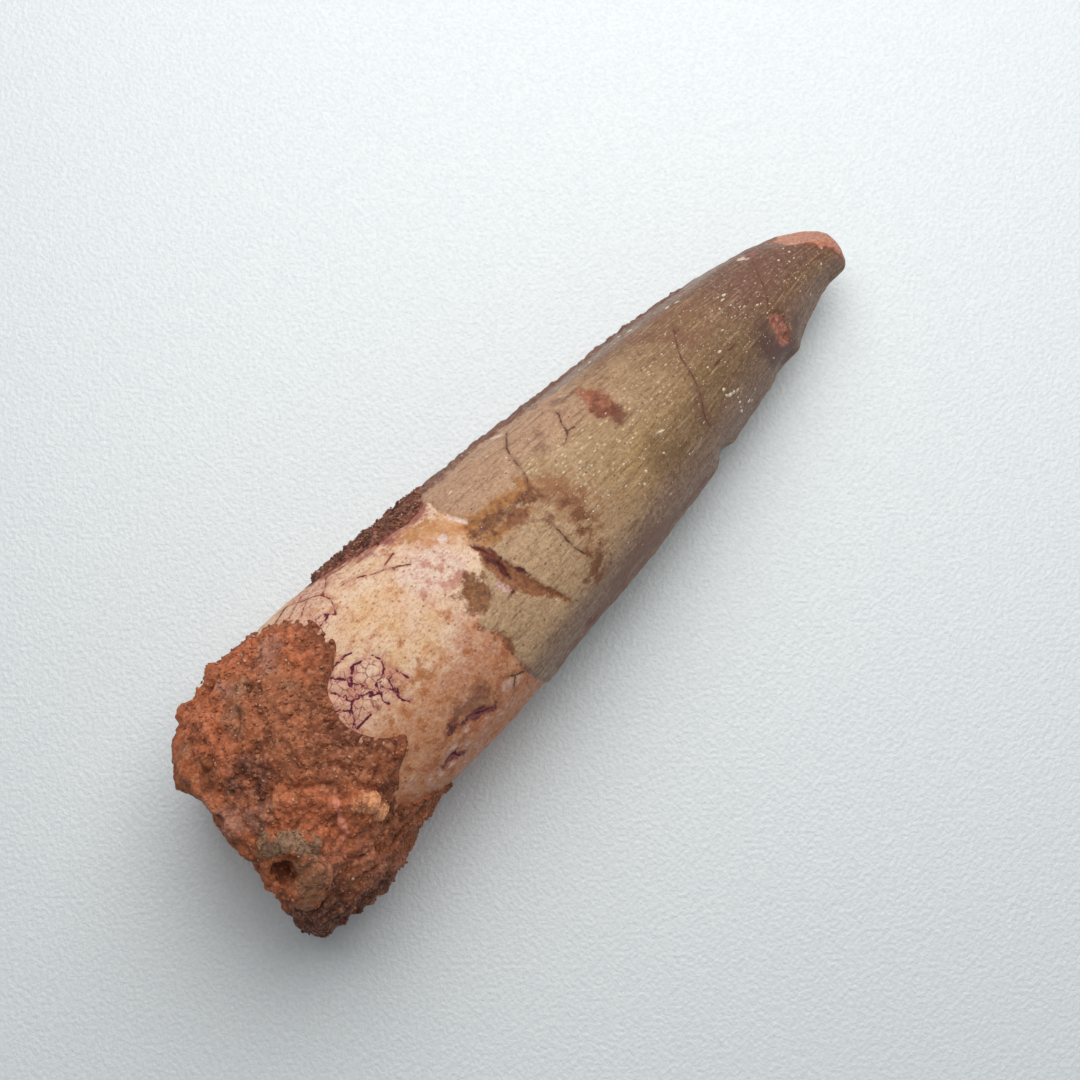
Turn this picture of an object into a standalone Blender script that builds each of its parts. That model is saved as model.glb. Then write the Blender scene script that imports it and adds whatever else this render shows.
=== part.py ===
"""Fossil spinosaurus tooth lying on its side, with sandstone matrix cemented round its broken root.

Metres, +Z up. +X runs from the broken root to the tip, and +Y to the convex front edge of the
crown. The origin is under the middle of the object, on the surface that it lies on.

The skin of every piece is worked out from two numbers: the place x along the tooth, and the turn
round it in degrees, 0 on top, 90 at the front edge (+Y) and -90 at the back edge (-Y).
"""

import bmesh
import bpy
import numpy as np
from mathutils import Matrix, Vector, noise

MM = 0.001

# Driving dimensions
TIP_X = 43.4 * MM
STUB_X = -34.0 * MM  # the root's broken end, inside the matrix
MATRIX_END_X = -41.4 * MM
SHOULDER_X = -39.2 * MM  # where the matrix turns from its sides to its end face
MATRIX_MIDDLE_X = -33.0 * MM
GAP = 0.3 * MM  # clearance between pieces that lie on each other
FLOOR_Z = 0.0
MIDDLE = Vector((0.1, -0.4, 0.0)) * MM  # the middle of the whole object, in the tables' frame

# The tooth without its relief: x, front edge y, back edge y, top z, bottom z. The bottom dips
# under the floor near x = 16 mm, where the crown is worn flat and rests.
TOOTH = MM * np.array([
    (-34.0, 11.9, -10.9, 19.6, 2.0),
    (-24.0, 12.2, -11.0, 19.8, 1.6),
    (-14.0, 11.5, -10.7, 19.3, 1.2),
    (-4.0, 11.0, -9.5, 18.3, 0.8),
    (6.0, 10.3, -8.5, 16.9, 0.2),
    (16.0, 9.5, -7.0, 15.2, -0.3),
    (26.0, 8.4, -4.9, 13.1, 0.1),
    (32.0, 7.4, -3.7, 11.7, 0.9),
    (36.0, 6.4, -2.2, 10.6, 1.7),
    (40.0, 5.0, -1.3, 9.2, 2.9),
    (43.4, 4.1, -1.5, 8.0, 3.9),
])
TIP_ROUND = 1.9 * MM  # length of the rounded end of the tip
STUB_ROUND = 3.0 * MM

# The matrix without its relief, in the same columns
MATRIX = MM * np.array([
    (-42.0, 8.6, -12.4, 19.6, -0.6),
    (-39.0, 10.6, -12.9, 20.5, -0.8),
    (-36.0, 12.2, -13.5, 21.2, -0.8),
    (-32.0, 12.5, -12.9, 21.4, -0.7),
    (-28.0, 12.2, -12.1, 21.3, -0.4),
    (-24.0, 12.3, -11.5, 20.9, 0.2),
    (-16.0, 12.2, -11.4, 20.2, 0.4),
])

# Enamel cap of the crown
ENAMEL_EDGE_X = -8.0 * MM  # where the enamel ends, on average
ENAMEL_WAVES = [(2.6 * MM, 1, 0.0), (1.1 * MM, 3, 40.0)]  # height, waves in a turn, degrees on
ENAMEL_THICK = 0.2 * MM
ENAMEL_TAPER = 1.0 * MM
KEEL_HEIGHT = 0.35 * MM  # the cutting edges along the front and the back
KEEL_SPREAD = 7.0  # degrees
KEEL_ON_ROOT = 0.3  # share of its height that goes on along the root

# Chips, pits and flakes in the tooth: x, turn, half length along x, half width round, depth
HOLLOWS = [
    (18.8, -90.0, 1.2, 1.6, 0.45),
    (29.3, -90.0, 1.3, 1.5, 0.4),
    (31.3, -44.0, 1.1, 1.5, 0.45),
    (32.2, -88.0, 1.0, 1.5, -0.35),
    (-6.0, -4.0, 1.2, 2.2, 0.35),
    (-5.6, -17.0, 1.1, 2.6, 0.35),
    (-10.3, -10.0, 1.5, 1.6, 0.25),
    (11.7, 22.0, 0.9, 2.6, 0.2),
]

# The worn facet beside the tip: its outward normal, and how far the tip reaches along it
FACET_NORMAL = Vector((0.50, 0.66, 0.56)).normalized()
FACET_REACH = 2.2 * MM  # from the point FACET_FROM
FACET_FROM = Vector((39.8, 1.8, 6.4)) * MM
FACET_LENGTH = 8.0 * MM  # how far behind FACET_FROM it can start

# Where the matrix stops along the root: turn in degrees, x
RIM = [
    (-180.0, -25.5),
    (-140.0, -24.5),
    (-105.0, -24.8),
    (-84.0, -25.4),
    (-72.0, -27.2),
    (-58.0, -29.0),
    (-44.0, -27.8),
    (-29.0, -25.4),
    (-17.0, -27.4),
    (-5.0, -28.9),
    (9.0, -25.3),
    (27.0, -24.8),
    (50.0, -26.4),
    (62.0, -29.0),
    (90.0, -29.5),
    (135.0, -26.0),
    (180.0, -25.5),
]
RIM_THICK = 0.45 * MM
THINS_FROM = 0.5  # share of the way from the shoulder to the rim where the block starts to thin

# Lumps and dents of the matrix: x, y, z of the middle, radius, height
LUMPS = [
    (-41.2, 7.6, 9.0, 2.4, 1.6),
    (-36.7, 12.2, 12.0, 1.7, 0.9),
    (-34.2, 12.2, 12.6, 1.5, -2.3),
    (-34.3, 10.5, 16.5, 1.3, -0.8),
    (-34.8, 12.0, 8.0, 1.6, -1.0),
    (-32.2, 12.8, 12.6, 1.6, 1.2),
    (-36.4, 7.6, 18.8, 2.4, 0.8),
    (-42.5, -9.6, 8.0, 3.2, 1.3),
    (-42.3, -6.0, 13.5, 2.4, -1.9),
    (-38.2, -6.0, 20.5, 2.0, 0.9),
    (-37.8, -8.8, 18.8, 2.2, 0.9),
    (-39.6, -7.3, 19.0, 1.2, -1.8),
    (-30.3, -8.7, 17.8, 1.6, 0.9),
    (-35.8, 0.4, 21.2, 1.8, -0.6),
    (-33.0, 3.5, 21.0, 3.0, 0.5),
    (-41.5, 0.6, 8.0, 3.2, -0.5),
    (-33.0, -12.0, 6.0, 3.2, 0.7),
    (-30.0, 12.5, 5.0, 3.0, 0.8),
]
COARSE_GRAIN, COARSE_HEIGHT = 4.2 * MM, 0.6 * MM
FINE_GRAIN, FINE_HEIGHT = 1.8 * MM, 0.5 * MM
END_SLANT = 0.08  # how far the end face leans back for each step towards the front edge

# Crust of sand left along the front edge, beside the end of the enamel
CRUST_X, CRUST_TURN = -13.1 * MM, 84.0
CRUST_HALF_LENGTH, CRUST_HALF_WIDTH = 6.9 * MM, 5.6 * MM
CRUST_THICK = 0.4 * MM
CRUST_RIM = 0.15 * MM
CRUST_WAVES = [(0.12, 3, 0.6), (0.08, 5, 0.0)]  # share of its size, waves round it, radians on
CRUST_GRAIN, CRUST_GRAIN_HEIGHT = 1.6 * MM, 0.15 * MM

# How finely the skins are drawn
TURNS = 48
TOOTH_RINGS = 40
MATRIX_TURNS = 60
MATRIX_RINGS = 17
END_TURNS = np.array([84.0, 76.0, 66.0, 54.0, 42.0, 30.0, 18.0, 8.0])  # degrees round its end face
SOCKET_RINGS = 8
STUB_TURNS = np.array([80.0, 50.0, 25.0])  # degrees round the rounded end of the stub
TIP_TURNS = np.linspace(15.0, 78.0, 5)
CRUST_TURNS = 28
CRUST_TOP_RINGS = (0.2, 0.4, 0.6, 0.8, 0.93, 1.0)  # shares of the way out to its rim
CRUST_UNDER_RINGS = (1.0, 0.75, 0.45, 0.2)


def turns_round(count):
    """The turns at which a ring of that many points has them."""
    return np.linspace(-180.0, 180.0, count, endpoint=False)


def on_curve(at, stations, column):
    """One column of a table at the places asked for, on a smooth curve through its stations."""
    place, value = stations[:, 0], stations[:, column]
    slope = np.gradient(value, place)
    i = np.clip(np.searchsorted(place, at) - 1, 0, len(place) - 2)
    step = place[i + 1] - place[i]
    t = np.clip((at - place[i]) / step, 0, 1)
    return (
        (2 * t**3 - 3 * t**2 + 1) * value[i]
        + (t**3 - 2 * t**2 + t) * step * slope[i]
        + (3 * t**2 - 2 * t**3) * value[i + 1]
        + (t**3 - t**2) * step * slope[i + 1]
    )


def oval(x, turn, stations, shrink=1.0, grow=0.0):
    """Points of an oval section of the given table, drawn in towards its middle or grown."""
    front, back, top, bottom = (on_curve(x, stations, column) for column in (1, 2, 3, 4))
    side, up = np.sin(np.radians(turn)), np.cos(np.radians(turn))
    y = (front + back) / 2 + ((front - back) / 2 * shrink + grow) * side
    z = (top + bottom) / 2 + ((top - bottom) / 2 * shrink + grow) * up
    return np.stack([x, y, z], axis=-1)


def from_turn(turn, other):
    """Degrees between two turns, the short way round."""
    return (turn - other + 180.0) % 360.0 - 180.0


def noise_at(points, size):
    """Smooth noise from -1 to 1 with features of the given size, one value for each point."""
    return np.array([noise.noise(Vector(point) / size) for point in points])


def enamel_edge(turn):
    """x at which the enamel ends: it dips towards the root on the back half."""
    edge = np.full(len(turn), ENAMEL_EDGE_X)
    for height, waves, onward in ENAMEL_WAVES:
        edge += height * np.sin(np.radians(waves * turn + onward))
    return edge


def tooth_relief(x, turn):
    """How far the tooth's skin stands out of its plain oval, in metres."""
    crown = np.clip((x - enamel_edge(turn)) / ENAMEL_TAPER + 0.5, 0, 1)
    relief = ENAMEL_THICK * crown
    for edge in (90.0, -90.0):
        keel = np.exp(-((from_turn(turn, edge) / KEEL_SPREAD) ** 2))
        relief += KEEL_HEIGHT * keel * (KEEL_ON_ROOT + (1 - KEEL_ON_ROOT) * crown)
    for middle, at_turn, half_length, half_width, depth in HOLLOWS:
        radius = on_curve(np.full(1, middle * MM), TOOTH, 3) / MM / 2
        across = np.radians(from_turn(turn, at_turn)) * radius
        along = x / MM - middle
        relief -= depth * MM * np.exp(-((along / half_length) ** 2) - (across / half_width) ** 2)
    return relief


def rounded_end(x, end, length):
    """Share of the full section left at x, where an end is rounded over the given length."""
    past = np.clip(1 - np.abs(end - x) / length, 0, 1)
    return np.sqrt(1 - past**2)


def worn_flat(points):
    """The points with the facet beside the tip ground off and the underside worn to the floor."""
    beyond = (points - np.array(FACET_FROM)) @ np.array(FACET_NORMAL) - FACET_REACH
    near_tip = points[:, 0] > FACET_FROM[0] - FACET_LENGTH
    ground = np.where(near_tip, np.maximum(beyond, 0), 0)
    points = points - ground[:, None] * np.array(FACET_NORMAL)
    points[:, 2] = np.maximum(points[:, 2], FLOOR_Z)
    return points


def tooth_skin(x, turn, out=0.0):
    """Points on the tooth's skin, or out from it by the given distance."""
    shrink = rounded_end(x, TIP_X + out, TIP_ROUND + out)
    shrink = shrink * rounded_end(x, STUB_X - out, STUB_ROUND + out)
    return oval(x, turn, TOOTH, shrink, (tooth_relief(x, turn) + out) * shrink)


def stub_rings(out=0.0):
    """x of the rings that round off the broken end of the root, from its side to its middle."""
    return STUB_X + STUB_ROUND - (STUB_ROUND + out) * np.cos(np.radians(STUB_TURNS))


def matrix_outside(x, turn, shrink=1.0, towards_end=0.0):
    """Points on the matrix's outer skin, lumps and grains included."""
    points = oval(x, turn, MATRIX, shrink)
    outward = points - oval(x, turn, MATRIX, 0.0)
    outward /= np.maximum(np.linalg.norm(outward, axis=1), 1e-9)[:, None]
    facing_end = towards_end / (SHOULDER_X - MATRIX_END_X)
    outward = outward * (1 - facing_end) + np.array([-1.0, 0, 0]) * facing_end
    near_end = np.clip((MATRIX_MIDDLE_X - x) / (MATRIX_MIDDLE_X - SHOULDER_X), 0, 1)
    points[:, 0] += END_SLANT * points[:, 1] * near_end - towards_end
    height = COARSE_HEIGHT * noise_at(points, COARSE_GRAIN)
    height += FINE_HEIGHT * noise_at(points, FINE_GRAIN)
    for lump in LUMPS:
        away = np.linalg.norm(points - np.array(lump[:3]) * MM, axis=1)
        height += lump[4] * MM * np.exp(-((away / (lump[3] * MM)) ** 2))
    return points + outward * height[:, None]


def lofted(name, rings, poles, material):
    """A closed solid through rings of points, drawn together at a pole at each end."""
    mesh = bmesh.new()
    loops = [[mesh.verts.new(point) for point in ring] for ring in rings]
    first_pole, last_pole = (mesh.verts.new(point) for point in poles)
    for first, second in zip(loops, loops[1:]):
        for a, b, c, d in zip(first, second, second[1:] + second[:1], first[1:] + first[:1]):
            mesh.faces.new((a, b, c, d))
    for pole, loop in ((first_pole, loops[0]), (last_pole, loops[-1])):
        for a, b in zip(loop, loop[1:] + loop[:1]):
            mesh.faces.new((pole, a, b))
    bmesh.ops.recalc_face_normals(mesh, faces=mesh.faces)
    data = bpy.data.meshes.new(name)
    mesh.to_mesh(data)
    mesh.free()
    data.materials.append(material)
    piece = bpy.data.objects.new(name, data)
    bpy.context.scene.collection.objects.link(piece)
    return piece


def stone_material(name, colour, roughness):
    material = bpy.data.materials.new(name)
    material.use_nodes = True
    shader = material.node_tree.nodes["Principled BSDF"]
    shader.inputs["Base Color"].default_value = (*colour, 1.0)
    shader.inputs["Roughness"].default_value = roughness
    shader.inputs["Metallic"].default_value = 0.0
    return material


def make_tooth():
    """Crown and root, one piece from the broken stub inside the matrix to the worn tip."""
    turn = turns_round(TURNS)
    body = np.linspace(STUB_X + STUB_ROUND + MM, TIP_X - TIP_ROUND, TOOTH_RINGS)
    tip = TIP_X - TIP_ROUND * (1 - np.sin(np.radians(TIP_TURNS)))
    places = np.concatenate([stub_rings()[::-1], body, tip])
    rings = [worn_flat(tooth_skin(np.full(TURNS, x), turn)) for x in places]
    poles = [oval(np.full(1, x), np.zeros(1), TOOTH, 0.0)[0] for x in (STUB_X, TIP_X)]
    poles[1] = worn_flat(poles[1][None])[0]
    return lofted("tooth", rings, poles, stone_material("tooth", (0.42, 0.27, 0.16), 0.45))


def make_matrix():
    """The matrix: a lumpy block at the end, with a socket in which the root sits."""
    turn = turns_round(MATRIX_TURNS)
    rim = on_curve(turn, np.array(RIM), 1) * MM
    rings = []
    for angle in np.radians(END_TURNS):
        depth = (SHOULDER_X - MATRIX_END_X) * np.sqrt(np.sin(angle))
        x = np.full(MATRIX_TURNS, SHOULDER_X)
        rings.append(matrix_outside(x, turn, np.sqrt(np.cos(angle)), depth))
    for share in np.linspace(0.0, 1.0, MATRIX_RINGS):
        x = SHOULDER_X + share * (rim - SHOULDER_X)
        block = matrix_outside(x, turn)
        skirt = tooth_skin(x, turn, GAP + RIM_THICK)
        blend = np.clip((share - THINS_FROM) / (1 - THINS_FROM), 0, 1)
        blend = blend**2 * (3 - 2 * blend)
        rings.append(block * (1 - blend) + skirt * blend)
    for share in np.linspace(0.0, 1.0, SOCKET_RINGS):
        x = rim + share * (STUB_X + STUB_ROUND + MM - rim)
        rings.append(tooth_skin(x, turn, GAP))
    for x in stub_rings(GAP):
        rings.append(tooth_skin(np.full(MATRIX_TURNS, x), turn, GAP))
    rings = [np.maximum(ring, (-np.inf, -np.inf, FLOOR_Z)) for ring in rings]
    middle = oval(np.full(1, SHOULDER_X), np.zeros(1), MATRIX, 0.0)[0]
    end_pole = middle - np.array([SHOULDER_X - MATRIX_END_X, 0, 0])
    socket_pole = oval(np.full(1, STUB_X - GAP), np.zeros(1), TOOTH, 0.0)[0]
    stone = stone_material("matrix", (0.23, 0.09, 0.045), 0.95)
    return lofted("matrix", rings, (end_pole, socket_pole), stone)


def make_crust():
    """A thin patch of sandy crust on the front edge of the root."""
    around = np.linspace(0.0, 2 * np.pi, CRUST_TURNS, endpoint=False)
    uneven = 1 + sum(height * np.sin(waves * around + onward) for height, waves, onward in CRUST_WAVES)
    reach = on_curve(np.full(1, CRUST_X), TOOTH, 3)[0] / 2

    def patch(share, out):
        x = CRUST_X + share * uneven * CRUST_HALF_LENGTH * np.cos(around)
        across = share * uneven * CRUST_HALF_WIDTH * np.sin(around)
        return tooth_skin(x, CRUST_TURN + np.degrees(across / reach), out)

    rings = []
    for share in CRUST_TOP_RINGS:
        ring = patch(share, GAP + CRUST_RIM + CRUST_THICK * (1 - share**3))
        ring[:, 1] += CRUST_GRAIN_HEIGHT * noise_at(ring, CRUST_GRAIN) * (share < 1.0)
        rings.append(ring)
    for share in CRUST_UNDER_RINGS:
        rings.append(patch(share, GAP))
    outer_pole = patch(0.0, GAP + CRUST_RIM + CRUST_THICK)[0]
    inner_pole = patch(0.0, GAP)[0]
    stone = stone_material("crust", (0.15, 0.075, 0.055), 0.95)
    return lofted("edge_crust", rings, (outer_pole, inner_pole), stone)


def build():
    for old in list(bpy.data.objects):
        bpy.data.objects.remove(old)
    for piece in (make_tooth(), make_matrix(), make_crust()):
        piece.data.transform(Matrix.Translation(-MIDDLE))
        piece.data.shade_smooth()


build()
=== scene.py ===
"""Looks of the fossil spinosaurus tooth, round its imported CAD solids.

Row frame: metres, +Z up, +X from the broken root to the tip, +Y to the convex front edge. The skins
are worked out in millimetres in the frame of the CAD source's tables, from the place x along the
tooth and the turn round it in degrees, 0 on top, 90 at the front edge and -90 at the back edge.
"""

import math

import bpy
import numpy as np
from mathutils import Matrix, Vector, noise


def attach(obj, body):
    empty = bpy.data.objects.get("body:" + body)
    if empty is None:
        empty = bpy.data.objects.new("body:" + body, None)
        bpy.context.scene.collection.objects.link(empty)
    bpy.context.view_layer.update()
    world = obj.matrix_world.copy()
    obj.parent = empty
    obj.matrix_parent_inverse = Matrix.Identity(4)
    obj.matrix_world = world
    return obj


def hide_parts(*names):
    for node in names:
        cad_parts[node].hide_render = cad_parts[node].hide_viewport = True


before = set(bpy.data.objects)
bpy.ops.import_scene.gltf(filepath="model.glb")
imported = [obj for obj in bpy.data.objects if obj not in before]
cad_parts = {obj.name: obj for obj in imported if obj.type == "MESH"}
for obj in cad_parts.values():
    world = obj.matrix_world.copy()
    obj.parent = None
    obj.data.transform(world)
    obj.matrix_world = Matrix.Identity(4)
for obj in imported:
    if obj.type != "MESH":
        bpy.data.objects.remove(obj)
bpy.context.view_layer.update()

MM = 0.001
SEEDS = {"twigs": 5, "specks": 11, "matrix_sand": 21, "edge_sand_grains": 22, "crumbs": 23}
MIDDLE = np.array([0.1, -0.4, 0.0])  # the origin of the row frame, in the tables' frame

# The form, as in the CAD source, in millimetres
TIP_X = 43.4
STUB_X = -34.0
MATRIX_END_X = -41.4
SHOULDER_X = -39.2
MATRIX_MIDDLE_X = -33.0
TIP_ROUND = 1.9
STUB_ROUND = 3.0
# Sections: x, and there the front edge, the back edge, the top and the bottom
TOOTH = np.array([
    (-34.0, 11.9, -10.9, 19.6, 2.0),
    (-24.0, 12.2, -11.0, 19.8, 1.6),
    (-14.0, 11.5, -10.7, 19.3, 1.2),
    (-4.0, 11.0, -9.5, 18.3, 0.8),
    (6.0, 10.3, -8.5, 16.9, 0.2),
    (16.0, 9.5, -7.0, 15.2, -0.3),
    (26.0, 8.4, -4.9, 13.1, 0.1),
    (32.0, 7.4, -3.7, 11.7, 0.9),
    (36.0, 6.4, -2.2, 10.6, 1.7),
    (40.0, 5.0, -1.3, 9.2, 2.9),
    (43.4, 4.1, -1.5, 8.0, 3.9),
])
MATRIX = np.array([
    (-42.0, 8.6, -12.4, 19.6, -0.6),
    (-39.0, 10.6, -12.9, 20.5, -0.8),
    (-36.0, 12.2, -13.5, 21.2, -0.8),
    (-32.0, 12.5, -12.9, 21.4, -0.7),
    (-28.0, 12.2, -12.1, 21.3, -0.4),
    (-24.0, 12.3, -11.5, 20.9, 0.2),
    (-16.0, 12.2, -11.4, 20.2, 0.4),
])
# Lumps of the matrix: x, y, z, reach, rise
LUMPS = [
    (-41.2, 7.6, 9.0, 2.4, 1.6),
    (-36.7, 12.2, 12.0, 1.7, 0.9),
    (-34.2, 12.2, 12.6, 1.5, -2.3),
    (-34.3, 10.5, 16.5, 1.3, -0.8),
    (-34.8, 12.0, 8.0, 1.6, -1.0),
    (-32.2, 12.8, 12.6, 1.6, 1.2),
    (-36.4, 7.6, 18.8, 2.4, 0.8),
    (-42.5, -9.6, 8.0, 3.2, 1.3),
    (-42.3, -6.0, 13.5, 2.4, -1.9),
    (-38.2, -6.0, 20.5, 2.0, 0.9),
    (-37.8, -8.8, 18.8, 2.2, 0.9),
    (-39.6, -7.3, 19.0, 1.2, -1.8),
    (-30.3, -8.7, 17.8, 1.6, 0.9),
    (-35.8, 0.4, 21.2, 1.8, -0.6),
    (-33.0, 3.5, 21.0, 3.0, 0.5),
    (-41.5, 0.6, 8.0, 3.2, -0.5),
    (-33.0, -12.0, 6.0, 3.2, 0.7),
    (-30.0, 12.5, 5.0, 3.0, 0.8),
]
COARSE_GRAIN, COARSE_HEIGHT = 4.2, 0.6
FINE_GRAIN, FINE_HEIGHT = 1.8, 0.5
END_SLANT = 0.08
FACET_NORMAL = np.array([0.50, 0.66, 0.56]) / np.linalg.norm([0.50, 0.66, 0.56])
FACET_REACH = 2.2
FACET_FROM = np.array([39.8, 1.8, 6.4])
FACET_LENGTH = 8.0

# Where the matrix stops along the root: turn, x
RIM = np.array([
    (-180, -25.5), (-140, -24.5), (-105, -24.8), (-84, -25.4), (-73, -27.0), (-66, -28.6),
    (-58, -29.0), (-50, -28.4), (-44, -27.4), (-38, -25.9), (-32, -25.0), (-28, -26.1),
    (-19, -27.4), (-7, -27.9), (0, -27.5), (8, -26.7),
    (13, -25.1), (19, -23.9), (29, -23.8), (38, -23.8), (52, -25.3), (64, -26.9), (80, -29.0),
    (95, -29.5), (135, -26.0), (180, -25.5),
], float)

# Where the enamel of the crown starts: turn, x
ENAMEL_EDGE = np.array([
    (-180, -9.5), (-135, -11.0), (-90, -10.4), (-78, -10.8), (-58, -11.5), (-44, -11.2),
    (-37, -10.9), (-28, -11.1), (-23, -11.9), (-16, -11.2), (-12, -9.2), (-5, -8.2), (3, -7.4),
    (11, -7.0), (20, -5.7), (30, -6.3), (42, -6.8), (60, -6.8), (90, -7.5), (130, -8.0),
    (180, -9.5),
], float)


def on_curve(at, stations, column):
    """One column of a table at the places asked for, on a smooth curve through its stations."""
    place, value = stations[:, 0], stations[:, column]
    slope = np.gradient(value, place)
    i = np.clip(np.searchsorted(place, at) - 1, 0, len(place) - 2)
    step = place[i + 1] - place[i]
    t = np.clip((at - place[i]) / step, 0, 1)
    return (
        (2 * t**3 - 3 * t**2 + 1) * value[i]
        + (t**3 - 2 * t**2 + t) * step * slope[i]
        + (3 * t**2 - 2 * t**3) * value[i + 1]
        + (t**3 - t**2) * step * slope[i + 1]
    )


def section(x, stations):
    """Middle and half size of a table's oval section at each x, first across and then up."""
    front, back, top, bottom = (on_curve(x, stations, column) for column in (1, 2, 3, 4))
    return (front + back) / 2, (front - back) / 2, (top + bottom) / 2, (top - bottom) / 2


def oval(x, turn, stations, shrink=1.0, grow=0.0):
    """Points of an oval section of the given table, drawn in towards its middle or grown."""
    middle_y, half_y, middle_z, half_z = section(x, stations)
    y = middle_y + (half_y * shrink + grow) * np.sin(np.radians(turn))
    z = middle_z + (half_z * shrink + grow) * np.cos(np.radians(turn))
    return np.stack([x, y, z], axis=-1)


def from_turn(turn, other):
    """Degrees between two turns, the short way round."""
    return (turn - other + 180.0) % 360.0 - 180.0


def rounded_end(x, end, length):
    """Share of the full section left at x, where an end is rounded over the given length."""
    past = np.clip(1 - np.abs(end - x) / length, 0, 1)
    return np.sqrt(1 - past**2)


def smooth(low, high, value):
    """0 below low, 1 above high, and a smooth rise between them."""
    t = np.clip((value - low) / (high - low), 0, 1)
    return t * t * (3 - 2 * t)


def noise_at(points, size, shift=0.0):
    """Smooth noise from -1 to 1 with features of the given size, one value for each point."""
    return np.array([noise.noise(Vector(p)) for p in points / size + shift])


def swirl_at(points, size, shift):
    """A vector of smooth noise for each point."""
    return np.stack([noise_at(points, size, shift + more) for more in (0.0, 10.0, 20.0)], axis=1)


def pebbles_at(points, size):
    """Rounded bumps packed side by side: 1 in the middle of each and 0 between them."""
    return np.array([1 - noise.voronoi(Vector(p))[0][0] for p in points / size])


def to_lines(points, lines):
    """For each point, the vector from the nearest of the lines and its length."""
    nearest = np.full(len(points), 9.0)
    vector = np.zeros((len(points), 3))
    for line in lines:
        for a, b in zip(line, line[1:]):
            near = np.flatnonzero(np.abs(points - (a + b) / 2).max(axis=1) < 4.0)
            away = points[near] - a
            along = np.clip(away @ (b - a) / max((b - a) @ (b - a), 1e-9), 0, 1)
            away -= along[:, None] * (b - a)
            length = np.linalg.norm(away, axis=1)
            closer = length < nearest[near]
            nearest[near[closer]] = length[closer]
            vector[near[closer]] = away[closer]
    return vector, nearest


def on_skin(corners, spacing=0.4):
    """Points on the tooth's plain skin, close together along a line of x, turn corners."""
    corners = np.array(corners, float)
    steps = np.maximum(np.abs(np.diff(corners[:, 0])), np.abs(np.diff(corners[:, 1])) / 6)
    at = np.concatenate([[0], np.cumsum(steps)])
    fine = np.linspace(0, at[-1], max(2, int(at[-1] / spacing)))
    return oval(np.interp(fine, at, corners[:, 0]), np.interp(fine, at, corners[:, 1]), TOOTH)


def skin_normals(x, turn):
    """Normals of the tooth's plain skin."""
    here, onward, beside = (oval(x + along, turn + by, TOOTH) for along, by in ((0, 0), (0.3, 0), (0, 2.0)))
    normals = np.cross(beside - here, onward - here)
    return normals / np.linalg.norm(normals, axis=1)[:, None]


def within(points, x, turn, outline):
    """Millimetres inside an outline of x, turn corners on the tooth, negative outside."""
    closed = outline + outline[:1]
    inside = np.zeros(len(x), bool)
    for (x1, t1), (x2, t2) in zip(closed, closed[1:]):
        crosses = (t1 > turn) != (t2 > turn)
        inside ^= crosses & (x < (x2 - x1) * (turn - t1) / ((t2 - t1) or 1e-9) + x1)
    away = to_lines(points, [on_skin(closed)])[1]
    return np.where(inside, away, -away)


def balls(points, spots):
    """Millimetres inside the nearest of some balls given by x, y, z, radius, negative outside."""
    best = np.full(len(points), -9.0)
    for x, y, z, radius in spots:
        best = np.maximum(best, radius - np.linalg.norm(points - (x, y, z), axis=1))
    return best


def mark(points, x, turn, shapes):
    """Millimetres inside the nearest of some outlines, lines with a reach, and round spots."""
    best = np.full(len(points), -9.0)
    for kind, *given in shapes:
        if kind == "area":
            inside = within(points, x, turn, given[0])
        elif kind == "line":
            inside = given[0] - to_lines(points, [on_skin(given[1])])[1]
        else:
            spots = [(*oval(np.full(1, at), np.full(1, side), TOOTH)[0], r) for at, side, r in given[0]]
            inside = balls(points, spots)
        best = np.maximum(best, inside)
    return best


def outward(grid):
    """Normals of a grid of points, rings along its first axis and turns along its second."""
    along = np.gradient(grid, axis=0)
    around = np.roll(grid, -1, axis=1) - np.roll(grid, 1, axis=1)
    normal = np.cross(along, around)
    size = np.linalg.norm(normal, axis=2)
    return normal / np.maximum(size, 1e-9)[..., None], size


def into_scene(name, data):
    """A new object of the scene, for a mesh, a camera or a lamp."""
    made = bpy.data.objects.new(name, data)
    bpy.context.scene.collection.objects.link(made)
    return made


def new_piece(name, points, faces, fields, material):
    """A smooth mesh piece with a value of each field at each of its points."""
    data = bpy.data.meshes.new(name)
    data.from_pydata(((points - MIDDLE) * MM).tolist(), [], faces)
    data.update()
    piece = into_scene(name, data)
    data.shade_smooth()
    data.materials.append(material)
    for key, value in fields.items():
        flat = value.ndim == 1
        layer = data.attributes.new(key, "FLOAT" if flat else "FLOAT_VECTOR", "POINT")
        layer.data.foreach_set("value" if flat else "vector", value.astype(np.float32).ravel())
    return piece


def closed_grid(name, grid, poles, fields, material):
    """A closed piece through a grid of rings with a pole at each end."""
    rings, turns = grid.shape[:2]
    here = np.arange(rings * turns).reshape(rings, turns)
    beside = np.roll(here, -1, axis=1)
    quads = np.stack([here[:-1], beside[:-1], beside[1:], here[1:]], axis=-1).reshape(-1, 4)
    first, last = rings * turns, rings * turns + 1
    caps = [[first, int(b), int(a)] for a, b in zip(here[0], beside[0])]
    caps += [[last, int(a), int(b)] for a, b in zip(here[-1], beside[-1])]
    points = np.concatenate([grid.reshape(-1, 3), poles])
    fields = {key: np.concatenate([value, value[[0, -1]]]) for key, value in fields.items()}
    return new_piece(name, points, quads.tolist() + caps, fields, material)


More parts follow.
